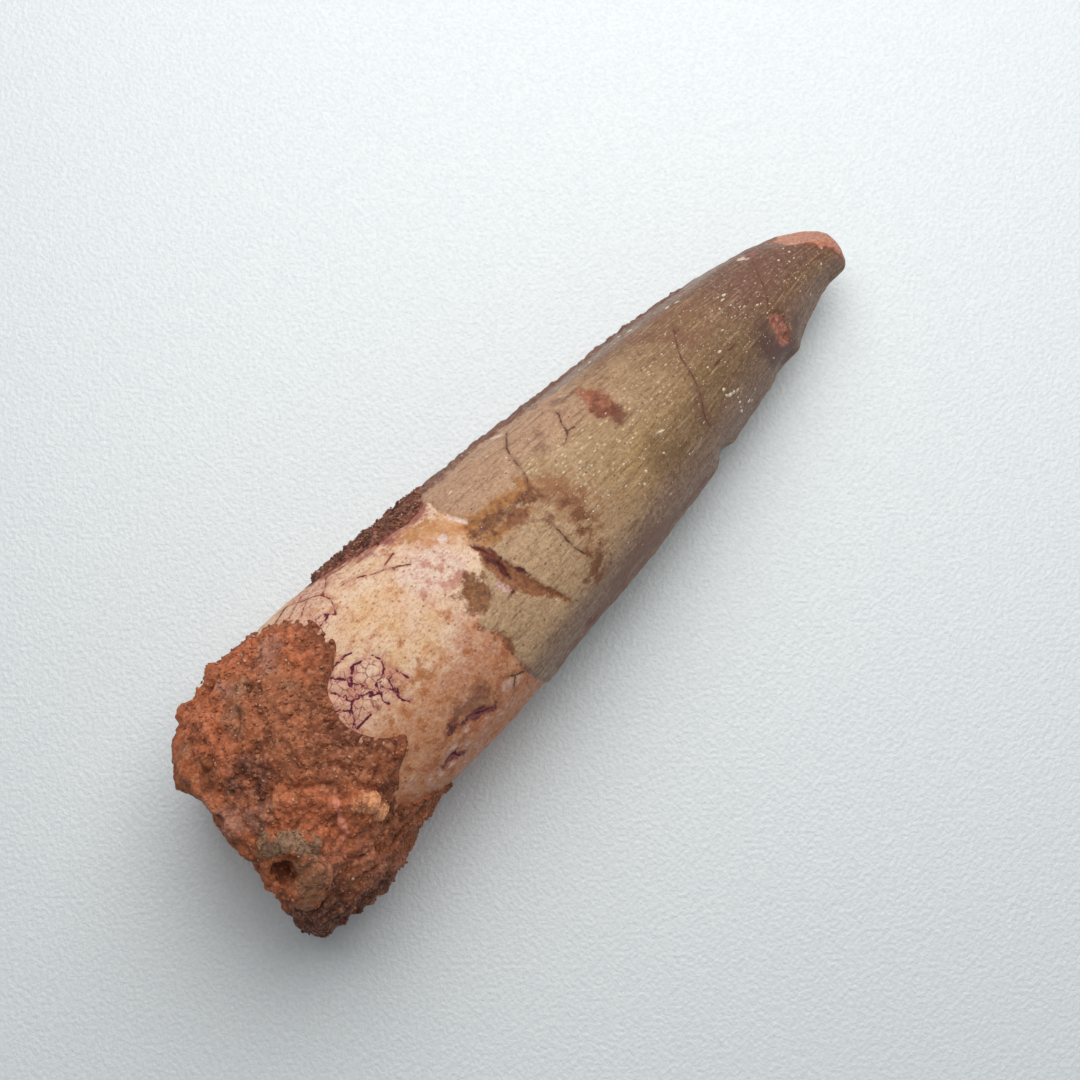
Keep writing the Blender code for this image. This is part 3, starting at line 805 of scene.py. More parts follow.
def root_colour(s, broad, tiny):
    """The bare root: cream with pink, yellow and rusty patches, a painted highlight on top, flecks, veins
    and fine craquelure.
    """
    root = s.mix(broad, (240, 206, 174), (232, 190, 154))
    root = s.mix(s.times(s.mottle, 0.4), root, (234, 202, 178))
    root = s.paint(root, [
        ("yellow", -0.9, 1.6, 1.4, (232, 188, 136), (228, 184, 134), 0.75),
        ("pink", -0.8, 1.6, 1.6, (224, 170, 148), (208, 150, 128), 0.6),
        # painted highlight on top of the root
        ("root_highlight", -0.5, 0.8, 1.2, (244, 220, 204), (232, 196, 178), 0.85),
        ("root_side", -1.4, 2.0, 2.4, (212, 152, 116), (196, 132, 94), 0.8),
        ("rusty", -0.8, 1.4, 2.8, (214, 158, 128), (180, 116, 82), 0.8),
        ("root_flank", -0.8, 1.4, 2.0, (206, 150, 130), (184, 126, 104), 0.8),
    ])
    rust = s.noise(1.7, 5, 0.72, s.moved(31.0))
    # keeps the rust thin under the painted highlight
    away_from_root_highlight = s.math("SUBTRACT", 1.0, s.times(s.step(s.field("root_highlight"), -0.5, 0.5), 0.7))
    rust = s.math("MULTIPLY_ADD", s.field("rust_side"), 0.1, rust)
    root = s.mix(s.times(s.step(rust, 0.47, 0.60), away_from_root_highlight, 0.75), root, (206, 140, 96))
    root = s.tint(root, rust, 0.59, 0.66, 0.65, (162, 88, 56))
    root = s.tint(root, rust, 0.46, 0.36, 0.35, (240, 208, 180))
    away, chance = s.cells(0.55)
    picked = s.step(s.math("ADD", chance[0], s.times(s.wander, 0.6)), 0.3, 0.5)
    speck = s.times(s.step(away, 0.34, 0.12), picked)
    root = s.mix(s.times(speck, 0.65), root, s.mix(chance[1], (138, 62, 38), (184, 106, 62)))
    vein = s.math("SUBTRACT", s.noise(1.6, 4, 0.66, s.moved(21.0)), 0.5)
    vein = s.step(s.math("ABSOLUTE", vein), 0.022, 0.0)
    root = s.mix(s.times(vein, s.step(s.wander, -0.3, 0.4), 0.5), root, (170, 96, 80))
    root = s.tint(root, tiny, 0.48, 0.64, 0.55, (178, 112, 78))
    root = s.tint(root, tiny, 0.44, 0.3, 0.4, (246, 220, 194))
    root = s.paint(root, [
        ("rust_dark", -0.7, 0.9, 2.6, (104, 56, 42), (158, 98, 70), 0.75),
        ("ochre_spots", -0.3, 0.25, 1.3, (190, 120, 66), (170, 100, 56), 0.8),
        ("red_veins", -0.2, 0.4, 1.2, (182, 98, 84), (202, 134, 112), 0.65),
        ("crust_edge", -1.2, 0.9, 3.0, (134, 60, 62), (166, 92, 82), 0.85),
        ("pale_flank", -0.25, 0.2, 0.6, (234, 194, 174), (204, 156, 138), 0.8),
        ("purple_flank", -0.25, 0.25, 0.9, (74, 30, 40), (112, 58, 56), 0.92),
    ])
    net = s.node("ShaderNodeTexVoronoi", feature="DISTANCE_TO_EDGE")
    jumbled = s.vector("ADD", s.at, s.times_vector(s.noise(0.6, 3, 0.6, s.moved(45.0), "Color"), 0.5))
    s.put(net.inputs["Vector"], jumbled)
    s.put(net.inputs["Scale"], 1 / 0.85)
    netted = s.step(s.math("MULTIPLY_ADD", s.wander, 3.0, s.field("net")), -0.9, 1.4)
    fine = s.times(s.step(net.outputs["Distance"], 0.09, 0.0), netted)
    root = s.mix(s.times(netted, 0.16), root, (226, 172, 154))
    return s.mix(s.times(fine, 0.85), root, (124, 46, 62))


def crown_colour(s, fibre, broad, tiny):
    """The enamel: brown bands with streaks along the tooth, a painted highlight, pale flecks and dark
    pinpricks.
    """
    lines = s.noise(0.4, 4, 0.66, fibre)
    crown = s.mix(broad, (198, 162, 124), (184, 146, 108))
    crown = s.paint(crown, [
        ("towards_root", -10.0, 0.0, 3.0, (204, 168, 132), (184, 144, 106), 0.85),
        ("rosy", -0.8, 2.0, 1.6, (194, 150, 122), (186, 142, 114), 0.8),
        ("towards_tip", 7.0, 24.0, 5.0, (138, 102, 68), (124, 88, 58), 0.92),
        ("olive_band", -0.6, 2.8, 0.8, (164, 127, 76), (150, 114, 66), 0.7),
        ("upper", -1.2, 1.8, 1.8, (136, 96, 70), (120, 82, 60), 0.75),
        ("flank", -0.9, 1.6, 1.6, (152, 120, 102), (130, 100, 86), 0.85),
        ("under", -0.6, 1.6, 1.4, (150, 118, 92), (128, 98, 78), 0.6),
        ("tip_red", -2.0, 3.0, 4.0, (124, 82, 68), (106, 70, 58), 0.88),
        ("sheen", -0.4, 0.9, 0.6, (150, 130, 120), (132, 110, 100), 0.8),
        # painted highlight on the crown's middle
        ("crown_highlight", -1.4, 1.4, 1.2, (188, 152, 104), (174, 136, 88), 0.6),
        ("shade", -1.8, 1.6, 1.4, (132, 102, 72), (116, 88, 62), 0.75),
        ("smudge", -0.4, 0.5, 0.8, (118, 82, 68), (134, 96, 78), 0.65),
        ("rust_c", -0.7, 0.6, 1.6, (122, 78, 56), (142, 98, 74), 0.7),
        ("flecked", -1.0, 1.4, 1.4, (178, 146, 108), (166, 132, 92), 0.5),
    ])
    crown = s.tint(crown, s.wander, 0.15, 0.7, 0.3, (122, 78, 58))
    crown = s.tint(crown, lines, 0.52, 0.68, 0.5, (100, 70, 48))
    crown = s.tint(crown, lines, 0.47, 0.30, 0.4, (212, 182, 144))
    crown = s.tint(crown, tiny, 0.46, 0.64, 0.42, (104, 70, 48))
    crown = s.tint(crown, tiny, 0.44, 0.3, 0.38, (212, 188, 154))
    stretched = s.vector("MULTIPLY", s.at, (0.5, 1.0, 1.0))
    away, chance = s.cells(0.3, stretched)
    fleck = s.times(s.step(away, 0.42, 0.2), s.step(chance[0], 0.55, 0.7))
    rich = s.step(s.math("MULTIPLY_ADD", s.wander, 1.4, s.field("flecked")), -1.6, 1.4)
    rich = s.math("MULTIPLY_ADD", rich, 0.65, 0.16)
    crown = s.mix(s.times(fleck, rich), crown, (226, 204, 166))
    away, chance = s.cells(0.6, s.moved(40.0))
    pit = s.times(s.step(away, 0.24, 0.1), s.step(chance[0], 0.74, 0.78), 0.75)
    return s.mix(pit, crown, (98, 58, 46))


# Cracks: width, colour, and the colour and strength of the haze beside them
CRACK_LOOKS = {
    "purple": (0.15, (92, 22, 48), (196, 112, 106), 0.42),
    "red": (0.13, (122, 52, 46), (180, 108, 88), 0.45),
    "brown": (0.115, (98, 60, 44), (122, 80, 56), 0.45),
}


def cracked(s, colour):
    """A colour with the hairline cracks drawn over it, uneven in width and hazy at their sides."""
    jitter = s.noise(0.3, 3, 0.6, s.moved(13.0), "Color")
    jitter = s.vector("MULTIPLY", s.vector("SUBTRACT", jitter, (0.5, 0.5, 0.5)), (0.22, 0.22, 0.22))
    uneven = s.step(s.noise(1.0, 4, 0.7, s.moved(17.0)), 0.34, 0.68)
    for name, (width, tint, haze, haze_strength) in CRACK_LOOKS.items():
        away = s.field(name + "_away")
        fog = s.times(s.step(s.math("MULTIPLY_ADD", s.wander, -0.4, away), 0.45, 0.0), haze_strength)
        hazy = s.mix(fog, colour, haze)
        length = s.vector("LENGTH", s.vector("ADD", s.field(name, "Vector"), jitter))
        half = s.times(uneven, width)
        line = s.step(s.math("SUBTRACT", half, length), -0.05, 0.03)
        share = s.times(line, s.step(away, 0.42, 0.3), s.step(uneven, 0.02, 0.2))
        colour = s.mix(share, hazy, tint)
    return colour


def tooth_surface():
    s = Surface("tooth")
    fibre = s.field("fibre", "Vector")
    broad = s.step(s.noise(3.0, 3, 0.55, s.moved(3.0)), 0.36, 0.64)
    tiny = s.noise(0.24, 4, 0.8, s.vector("MULTIPLY", s.moved(5.0), (0.6, 1.0, 1.0)))
    on_crown = s.step(s.math("MULTIPLY_ADD", s.wander, 0.5, s.field("enamel")), -0.1, 0.1)
    colour = s.mix(on_crown, root_colour(s, broad, tiny), crown_colour(s, fibre, broad, tiny))
    colour = s.paint(colour, [
        ("rust_rim", -0.25, 0.15, 1.4, (118, 60, 40), (160, 98, 66), 0.85),
        ("olive", -0.5, 0.4, 2.0, (112, 66, 38), (156, 104, 66), 0.92),
        ("ochre", -1.0, 0.6, 1.8, (200, 136, 82), (212, 158, 116), 0.88),
        ("stain", -1.0, 1.5, 3.4, (138, 80, 42), (160, 106, 64), 0.8),
        ("stain_dark", -0.5, 0.6, 2.6, (100, 56, 36), (130, 80, 50), 0.75),
        ("gold", -0.6, 0.3, 1.3, (178, 112, 48), (150, 98, 50), 0.85),
        ("streak", -0.5, 0.4, 2.2, (88, 46, 28), (142, 88, 48), 0.9),
        ("low_streak", -0.3, 0.2, 0.9, (112, 60, 38), (146, 92, 58), 0.8),
        ("wedge", -0.2, 0.15, 0.7, (156, 98, 60), (128, 70, 42), 0.92),
        ("gash", -0.2, 0.15, 0.7, (66, 12, 22), (104, 40, 34), 0.95),
        ("back_rust", -0.9, 1.2, 2.8, (110, 66, 50), (142, 98, 78), 0.78),
        ("back_spots", -0.2, 0.2, 0.8, (104, 36, 34), (128, 66, 54), 0.85),
        ("front_rust", -0.7, 0.6, 2.4, (102, 58, 42), (138, 86, 60), 0.9),
        ("pit_dark", -0.8, 0.8, 1.3, (92, 60, 54), (110, 78, 70), 0.85),
        ("patch", -0.3, 0.2, 1.2, (150, 86, 58), (172, 112, 84), 0.95),
        ("patch_dark", -0.4, 0.4, 1.2, (104, 52, 34), (130, 72, 50), 0.85),
        ("pit", -0.2, 0.2, 1.2, (196, 132, 110), (136, 72, 58), 0.95),
        ("pit_core", -0.3, 0.3, 1.4, (118, 52, 44), (200, 140, 116), 0.8),
        ("facet", -0.4, 0.05, 0.6, (128, 66, 52), (150, 88, 66), 0.9),
        ("facet", 0.1, 0.6, 1.1, (206, 140, 110), (172, 108, 84), 1.0),
        ("chip_red", -0.15, 0.2, 0.6, (146, 66, 54), (168, 104, 88), 0.85),
        ("chip_pink", -0.15, 0.15, 0.5, (228, 190, 178), (176, 118, 112), 0.95),
        ("pale", -0.12, 0.12, 0.35, (234, 208, 194), (218, 182, 166), 0.95),
    ])
    rough = s.math("MULTIPLY_ADD", on_crown, -0.3, s.math("MULTIPLY_ADD", s.mottle, 0.14, 0.66))
    height = s.times(s.noise(0.4, 3, 0.66, fibre), s.step(s.field("enamel"), -0.2, 0.2), 0.8)
    height = s.math("ADD", height, s.noise(0.3, 4, 0.75))
    return s.finished(cracked(s, colour), rough, 0.32, height, 0.12)


# Pale specks in the enamel

SPECK_COUNT, SPECK_BIG = 700, 70
BIG_RADIUS, SMALL_RADIUS = (0.09, 0.14), (0.04, 0.075)
# Larger white bits: x, turn, radius, stretch along x
WHITE_BITS = [
    (21.9, -36, 0.26, 1.2), (21.8, -41, 0.24, 1.0), (22.2, -44, 0.3, 1.5), (22.7, -45, 0.2, 1.2),
    (23.2, -47, 0.22, 1.6), (22.8, -52, 0.2, 0.8), (22.7, -57, 0.22, 0.9), (22.6, -62, 0.24, 0.8),
    (22.5, -67, 0.28, 1.2), (23.8, -68, 0.2, 1.4), (24.2, -72, 0.2, 1.0), (21.0, -47, 0.16, 1.0),
    (13.9, -20, 0.2, 3.2), (12.7, -31, 0.2, 1.0), (8.9, -17, 0.18, 1.0), (11.4, -10, 0.16, 1.6),
    (5.7, -23, 0.2, 1.0), (7.6, -27, 0.16, 1.4), (10.1, -30, 0.22, 1.0), (9.2, -35, 0.2, 1.3),
    (29.1, 20, 0.26, 1.2), (28.6, 17, 0.24, 1.4), (27.6, 12, 0.2, 1.0), (28.7, 8, 0.16, 1.0),
    (24.6, 52, 0.26, 1.8), (25.6, 49, 0.22, 1.3), (20.2, 62, 0.26, 1.4), (19.2, 66, 0.22, 1.8),
    (36.2, 10, 0.16, 1.2), (37.8, 12, 0.16, 1.0), (39.6, -36, 0.18, 1.0), (35.6, -38, 0.16, 1.0),
    (15.0, 60, 0.22, 1.3), (13.6, 60, 0.2, 1.0), (0.4, 47, 0.14, 1.6), (-4.6, 44, 0.16, 2.2),
]


def pale_specks(material):
    draw = np.random.default_rng(SEEDS["specks"])
    x = draw.uniform(-6, 41, 6 * SPECK_COUNT)
    turn = draw.uniform(-85, 78, 6 * SPECK_COUNT)
    likely = 0.22 + 0.5 * smooth(-2, 5, x) * smooth(30, 0, np.abs(turn + 16))
    likely += 0.5 * smooth(20, 27, x) * smooth(34, 28, x) * smooth(40, 10, np.abs(turn - 6))
    kept = np.flatnonzero(draw.random(len(x)) < likely)[:SPECK_COUNT]
    x, turn = x[kept], turn[kept]
    radius = draw.uniform(*SMALL_RADIUS, SPECK_COUNT)
    radius[:SPECK_BIG] = draw.uniform(*BIG_RADIUS, SPECK_BIG)
    stretch = draw.uniform(0.9, 1.9, SPECK_COUNT)
    bits = np.array(WHITE_BITS)
    x, turn = np.concatenate([x, bits[:, 0]]), np.concatenate([turn, bits[:, 1]])
    radius = np.concatenate([radius, bits[:, 2]])
    stretch = np.concatenate([stretch, bits[:, 3]])

    plain, fields = tooth_fields(x, turn)
    places = tooth_points(x, turn, plain, tooth_relief(x, turn, plain, fields))
    half = np.array([1.0, 1.0, 0.4]) * np.stack([stretch, np.ones(len(x)), np.ones(len(x))], axis=1)
    sizes = {"half": half, "swerve": 0.25, "sunk": 0.3}
    points, faces = grains_on(places, skin_normals(x, turn), radius, sizes, draw)
    tone = np.repeat(draw.uniform(0, 1, len(x)), len(BALL))
    return new_piece("pale_specks", points, faces, {"tone": tone}, material)


def speck_surface():
    s = Surface("speck")
    colour = s.mix(s.field("tone"), (234, 222, 200), (212, 192, 168))
    colour = s.mix(s.times(s.mottle, 0.5), colour, (180, 152, 122))
    rough = s.math("MULTIPLY_ADD", s.mottle, 0.2, 0.5)
    return s.finished(colour, rough, 0.5, s.noise(0.12, 3), 0.02)


# Matrix

MATRIX_TURNS = 480
END_RINGS = 75
SIDE_RINGS = 100
matrix_turns = np.interp(
    np.linspace(0, 1, MATRIX_TURNS, endpoint=False), [0, 0.17, 0.83, 1], [-180, -105, 105, 180]
)
SAND_GRAINS = 5600
SAND_RADIUS = (0.05, 0.16)
CRUMBS = 420
CRUMB_RADIUS = (0.05, 0.16)

# Marks in the matrix, balls of x, y, z, radius
STONE_MARKS = {
    "orange": [(-36.8, 8.5, 18.0, 3.0), (-36.0, 7.0, 19.0, 2.2), (-37.8, 9.5, 14.5, 2.8),
        (-29.0, 11.0, 15.6, 2.6), (-25.4, 5.6, 19.8, 1.6), (-25.0, 9.0, 17.6, 2.0),
        (-35.8, -3.0, 21.3, 1.3), (-33.4, -5.8, 20.3, 2.6), (-34.4, -8.4, 18.6, 1.8),
        (-32.0, -4.4, 20.8, 1.6), (-36.6, 3.2, 20.4, 1.6)],
    "amber": [(-29.5, 5.0, 20.5, 3.0), (-31.5, 2.0, 21.5, 2.0), (-27.6, 2.6, 20.6, 1.8),
        (-32.4, -10.4, 16.4, 1.4)],
    "mauve": [(-27.0, 9.0, 18.0, 1.6), (-28.0, 7.6, 18.9, 1.0), (-32.2, 8.9, 18.2, 1.2),
        (-33.0, -13.0, 9.0, 2.2), (-38.2, -2.0, 20.8, 1.2), (-34.0, -12.6, 13.2, 1.8),
        (-40.0, -0.4, 20.1, 1.6), (-40.7, 2.0, 18.8, 1.2)],
    "olive": [(-31.2, 8.0, 18.9, 1.2), (-33.1, 6.4, 20.0, 1.2), (-33.9, 5.0, 20.6, 1.0),
        (-38.6, 7.6, 17.4, 0.8), (-36.4, -2.2, 21.2, 0.6), (-28.0, 4.6, 20.3, 0.5)],
    "dark": [(-35.3, 1.8, 20.9, 1.2), (-35.0, 0.3, 20.9, 1.1), (-36.5, -0.3, 20.7, 1.0),
        (-37.6, 1.4, 20.2, 1.0), (-39.8, -11.9, 13.6, 2.4), (-38.9, -13.1, 9.3, 3.0),
        (-42.6, -11.3, 9.3, 2.6), (-38.2, -2.9, 20.9, 0.6), (-36.6, -12.6, 10.6, 2.2),
        (-41.4, -10.9, 13.7, 2.2), (-40.4, -12.5, 11.8, 2.4), (-34.4, -13.0, 9.6, 1.6),
        (-41.4, -9.0, 16.6, 0.8)],
    "brown": [(-29.5, -2.7, 20.3, 3.2), (-27.2, -4.6, 19.6, 2.2), (-29.8, -11.2, 14.8, 2.6),
        (-28.5, -11.8, 12.0, 2.6), (-32.4, -0.6, 21.5, 1.6), (-27.6, -8.0, 18.0, 1.6),
        (-38.6, 3.4, 19.4, 1.2), (-37.4, -11.0, 15.0, 2.6), (-35.4, -12.4, 12.6, 2.4)],
    "dusty": [(-36.4, -9.6, 18.4, 2.2), (-36.8, -11.0, 16.6, 1.8), (-34.0, -10.8, 16.8, 1.6)],
    "tan_chip": [(-30.7, -7.3, 19.3, 0.85), (-29.9, -8.1, 18.4, 0.95), (-29.9, -9.2, 17.0, 0.85)],
    "grey_chip": [(-39.3, -4.5, 20.3, 0.9), (-38.5, -4.8, 20.7, 1.0), (-37.6, -5.4, 21.0, 1.0),
        (-36.9, -6.2, 20.7, 0.95), (-36.2, -7.2, 20.0, 0.8)],
    "tan_mass": [(-38.0, -8.0, 19.4, 1.3), (-37.7, -9.2, 18.8, 1.4), (-39.0, -9.4, 18.2, 1.4),
        (-40.0, -10.0, 17.0, 1.3), (-37.2, -6.8, 20.4, 0.7)],
    "cavity": [(-39.6, -6.4, 19.0, 0.75), (-39.9, -7.2, 18.4, 0.6)],
}
PINK_LINE = [np.array([(-32.1, -6.0, 20.3), (-33.0, -7.1, 19.6), (-33.7, -8.6, 18.3)])]
WHITE_LINE = [np.array([(-31.6, -10.5, 16.0), (-32.3, -11.4, 15.2)])]


def stone_fields(points):
    wavy = points + 0.35 * swirl_at(points, 1.4, 3.0)
    fields = {name: balls(wavy, spots) for name, spots in STONE_MARKS.items()}
    fields["pink_line"] = 0.3 - to_lines(wavy, PINK_LINE)[1]
    fields["white_line"] = 0.12 - to_lines(points, WHITE_LINE)[1]
    return fields


def matrix_outside(x, turn, shrink, towards_end):
    """Points on the matrix's outer skin as in the CAD source, lumps and grains included."""
    points = oval(x, turn, MATRIX, shrink)
    out = points - oval(x, turn, MATRIX, 0.0)
    out /= np.maximum(np.linalg.norm(out, axis=1), 1e-6)[:, None]
    facing_end = (towards_end / (SHOULDER_X - MATRIX_END_X))[:, None]
    out = out * (1 - facing_end) + np.array([-1.0, 0, 0]) * facing_end
    near_end = np.clip((MATRIX_MIDDLE_X - x) / (MATRIX_MIDDLE_X - SHOULDER_X), 0, 1)
    points[:, 0] += END_SLANT * points[:, 1] * near_end - towards_end
    height = COARSE_HEIGHT * noise_at(points, COARSE_GRAIN) + FINE_HEIGHT * noise_at(points, FINE_GRAIN)
    for lump in LUMPS:
        away = np.linalg.norm(points - np.array(lump[:3]), axis=1)
        height += lump[4] * np.exp(-((away / lump[3]) ** 2))
    return points + out * height[:, None]


def matrix_relief(points, share):
    """Grains, furrows, chips and hollows of the stone, along its normals."""
    fields = stone_fields(points)
    furrow = 1 - np.abs(noise_at(points, 2.6, 4.0)) * 4
    height = 0.18 * (pebbles_at(points, 0.6) - 0.5) + 0.28 * (pebbles_at(points, 1.3) - 0.5)
    height += 0.3 * noise_at(points, 1.2) + 0.18 * noise_at(points, 0.5) - 0.32 * np.maximum(furrow, 0)
    for name, rise in (("tan_chip", 0.4), ("grey_chip", 0.5), ("tan_mass", 0.35), ("cavity", -0.6)):
        height += rise * smooth(-0.15, 0.25, fields[name] + 0.2 * noise_at(points, 0.6))
    thin = smooth(1.1, 0.8, share)
    edge = 0.45 * noise_at(points, 1.3) + 0.3 * noise_at(points, 0.6)
    return height * (0.3 + 0.7 * thin) + (edge - 0.55) * smooth(0.8, 1.1, share)


def matrix_mesh(material):
    """The stone's skin, and its grid with the share of the way to the rim at each ring."""
    rim = on_curve(matrix_turns, RIM, 1)
    full = np.ones(MATRIX_TURNS)
    rings, shares = [], []
    for shrink in np.linspace(0.02, 0.995, END_RINGS):
        depth = (SHOULDER_X - MATRIX_END_X) * np.sqrt(np.sin(np.arccos(shrink**2)))
        rings.append(matrix_outside(full * SHOULDER_X, matrix_turns, shrink, full * depth))
        shares.append(0 * full)
    for share in np.linspace(0.0, 1.1, SIDE_RINGS):
        x = SHOULDER_X + share * (rim - SHOULDER_X)
        block = matrix_outside(x, matrix_turns, 1.0, 0 * full)
        skirt = oval(x, matrix_turns, TOOTH, 1.0, 0.75)
        blend = smooth(0.5, 1.0, share)
        rings.append(block * (1 - blend) + skirt * blend)
        shares.append(full * share)
    grid, shares = np.array(rings), np.array(shares)
    flat = grid.reshape(-1, 3)
    relief = matrix_relief(flat, shares.ravel())
    flat = flat + outward(grid)[0].reshape(-1, 3) * relief[:, None]
    flat[:, 2] = np.maximum(flat[:, 2], 0)
    grid = flat.reshape(grid.shape)
    socket = [oval(rim + k * (STUB_X - rim), matrix_turns, TOOTH, 0.9) for k in (-0.08, 0.3, 0.9)]
    whole = np.concatenate([grid, socket])
    socket_points = len(socket) * MATRIX_TURNS
    poles = np.array([whole[0].mean(axis=0), whole[-1].mean(axis=0)])
    fields = stone_fields(whole.reshape(-1, 3))
    fields["height"] = np.concatenate([relief, np.zeros(socket_points)])
    return closed_grid("matrix_stone", whole, poles, fields, material), grid, fields


def sand(name, grid, count, radii, fields, material):
    """Sand grains cemented all over a grid of points, with a tone from 0 to 1 for each."""
    draw = np.random.default_rng(SEEDS[name])
    normals, area = outward(grid)
    places, normals = grid.reshape(-1, 3), normals.reshape(-1, 3)
    weight = area.ravel() * clear_of_tooth(places)
    chosen = draw.choice(len(places), count, replace=False, p=weight / weight.sum())
    radius = draw.uniform(*radii, count) * draw.choice([1.0, 0.8, 1.35], count, p=[0.6, 0.3, 0.1])
    centres = places[chosen] + draw.uniform(-0.08, 0.08, (count, 3))
    sizes = {"half": np.array([1.25, 0.9, 0.7]), "swerve": 1.5, "sunk": 0.4}
    points, faces = grains_on(centres, normals[chosen], radius, sizes, draw)
    points[:, 2] = np.maximum(points[:, 2], 0)
    fields = {key: np.repeat(value[chosen], len(BALL)) for key, value in fields.items()}
    fields["tone"] = np.repeat(draw.uniform(0.05, 1, count), len(BALL))
    return new_piece(name, points, faces, fields, material)


def crumbs(material):
    """Single grains and small clots stuck to the root just past the edge of the matrix."""
    draw = np.random.default_rng(SEEDS["crumbs"])
    turn = draw.uniform(-95, 80, CRUMBS)
    x = np.interp(turn, RIM[:, 0], RIM[:, 1]) - 0.35 + draw.exponential(0.42, CRUMBS)
    places = oval(x, turn, TOOTH)
    radius = draw.uniform(*CRUMB_RADIUS, CRUMBS)
    sizes = {"half": np.array([1.1, 1.0, 0.8]), "swerve": 1.5, "sunk": 0.2}
    points, faces = grains_on(places, skin_normals(x, turn), radius, sizes, draw)
    fields = {key: np.repeat(value, len(BALL)) for key, value in stone_fields(places).items()}
    fields["tone"] = np.repeat(draw.uniform(0.05, 0.97, CRUMBS), len(BALL))
    return new_piece("crumbs", points, faces, fields, material)


def clear_of_tooth(points):
    """1 for each point outside the tooth and above the flat spot, 0 for the others."""
    middle_y, half_y, middle_z, half_z = section(points[:, 0], TOOTH)
    across = (points[:, 1] - middle_y) / half_y
    up = (points[:, 2] - middle_z) / half_z
    return ((across**2 + up**2 > 1.02) & (points[:, 2] > 0.3)).astype(float)


def stone_surface(name, light_colour, dark_colour, marks, late_marks):
    """Sandstone: a mottled ground, painted shade in the low parts of its relief, grains of their own tone,
    and marks under and over them.
    """
    s = Surface(name)
    broad = s.step(s.noise(2.4, 4, 0.6, s.moved(3.0)), 0.36, 0.64)
    base = s.paint(s.mix(broad, light_colour, dark_colour), marks)
    base = s.mix(s.times(s.mottle, 0.35), base, (192, 114, 76))
    base = s.tint(base, s.wander, 0.1, 0.8, 0.35, (106, 54, 34))
    # painted shade: the low parts of the stone's relief are darkened
    low = s.step(s.math("MULTIPLY_ADD", s.wander, 0.3, s.field("height")), -0.1, -0.55)
    base = s.mix(s.times(low, 0.55), base, (84, 42, 28))
    away, chance = s.cells(0.34)
    base = s.tint(base, chance[0], 0.62, 1.0, 0.42, (210, 144, 108))
    base = s.tint(base, chance[0], 0.4, 0.0, 0.4, (98, 50, 32))
    base = s.tint(base, away, 0.4, 0.85, 0.3, (88, 42, 26))
    tone = s.field("tone")
    grain = s.step(tone, 0.0, 0.04)
    base = s.mix(s.times(grain, s.step(tone, 0.5, 0.9), 0.3), base, (214, 152, 118))
    base = s.mix(s.times(grain, s.step(tone, 0.35, 0.1), 0.28), base, (112, 58, 36))
    base = s.tint(base, tone, 0.975, 0.98, 0.6, (220, 190, 164))
    base = s.paint(base, late_marks)
    rough = s.math("MULTIPLY_ADD", chance[1], 0.25, 0.66)
    rough = s.math("MULTIPLY_ADD", s.step(tone, 0.8, 0.9), -0.25, rough)
    height = s.math("SUBTRACT", s.noise(0.28, 4, 0.7), s.times(away, 0.7))
    return s.finished(base, rough, 0.45, height, 0.12)


def matrix_surface():
    marks = [
        ("orange", -1.2, 1.4, 1.6, (212, 120, 78), (194, 104, 66), 0.85),
        ("amber", -1.0, 1.2, 1.6, (172, 108, 74), (160, 98, 66), 0.7),
        ("mauve", -0.6, 0.8, 1.2, (200, 146, 126), (170, 118, 102), 0.7),
        ("olive", -0.5, 0.6, 1.0, (158, 122, 94), (140, 104, 78), 0.75),
        ("dusty", -0.8, 1.2, 1.6, (176, 106, 80), (150, 90, 70), 0.7),
        ("height", 0.1, 0.5, 0.25, (206, 130, 88), (188, 114, 76), 0.6),
        ("brown", -0.8, 1.2, 1.8, (132, 76, 48), (118, 66, 42), 0.75),
        ("dark", -1.0, 0.7, 1.3, (56, 38, 40), (86, 52, 46), 0.88),
    ]
    late_marks = [
        ("tan_mass", -0.35, 0.4, 1.4, (176, 126, 94), (134, 88, 62), 0.75),
        ("tan_chip", -0.2, 0.1, 0.5, (244, 174, 126), (220, 150, 106), 0.9),
        ("grey_chip", -0.25, 0.15, 1.1, (158, 128, 102), (120, 90, 68), 0.85),
        # painted shade: the hollow under the grey chip is painted dark
        ("cavity", -0.3, 0.6, 1.6, (70, 36, 28), (104, 56, 38), 0.85),
        ("pink_line", -0.12, 0.08, 0.3, (240, 156, 132), (214, 128, 100), 0.85),
        ("white_line", -0.08, 0.04, 0.15, (240, 222, 200), (222, 192, 162), 0.9),
    ]
    return stone_surface("matrix", (190, 106, 62), (160, 84, 46), marks, late_marks)


# Crust on the front edge

CRUST_TURNS = 200
CRUST_RINGS = 48
CRUST_GRAINS = 1500
CRUST_RADIUS = (0.06, 0.15)
CRUST_MIDDLE = np.array([-12.6, 84.0])
DEGREES_PER_MM = math.degrees(1 / 10)
CRUST_OUTLINE = [
    (-5.4, 92), (-5.6, 70), (-6.4, 61), (-7.6, 55), (-8.8, 52), (-10.0, 52), (-11.2, 55),
    (-12.4, 56), (-13.5, 60), (-14.4, 61), (-15.2, 65), (-16.4, 65), (-17.3, 69), (-19.0, 76),
    (-20.4, 88), (-18, 104), (-12, 110), (-8, 106),
]


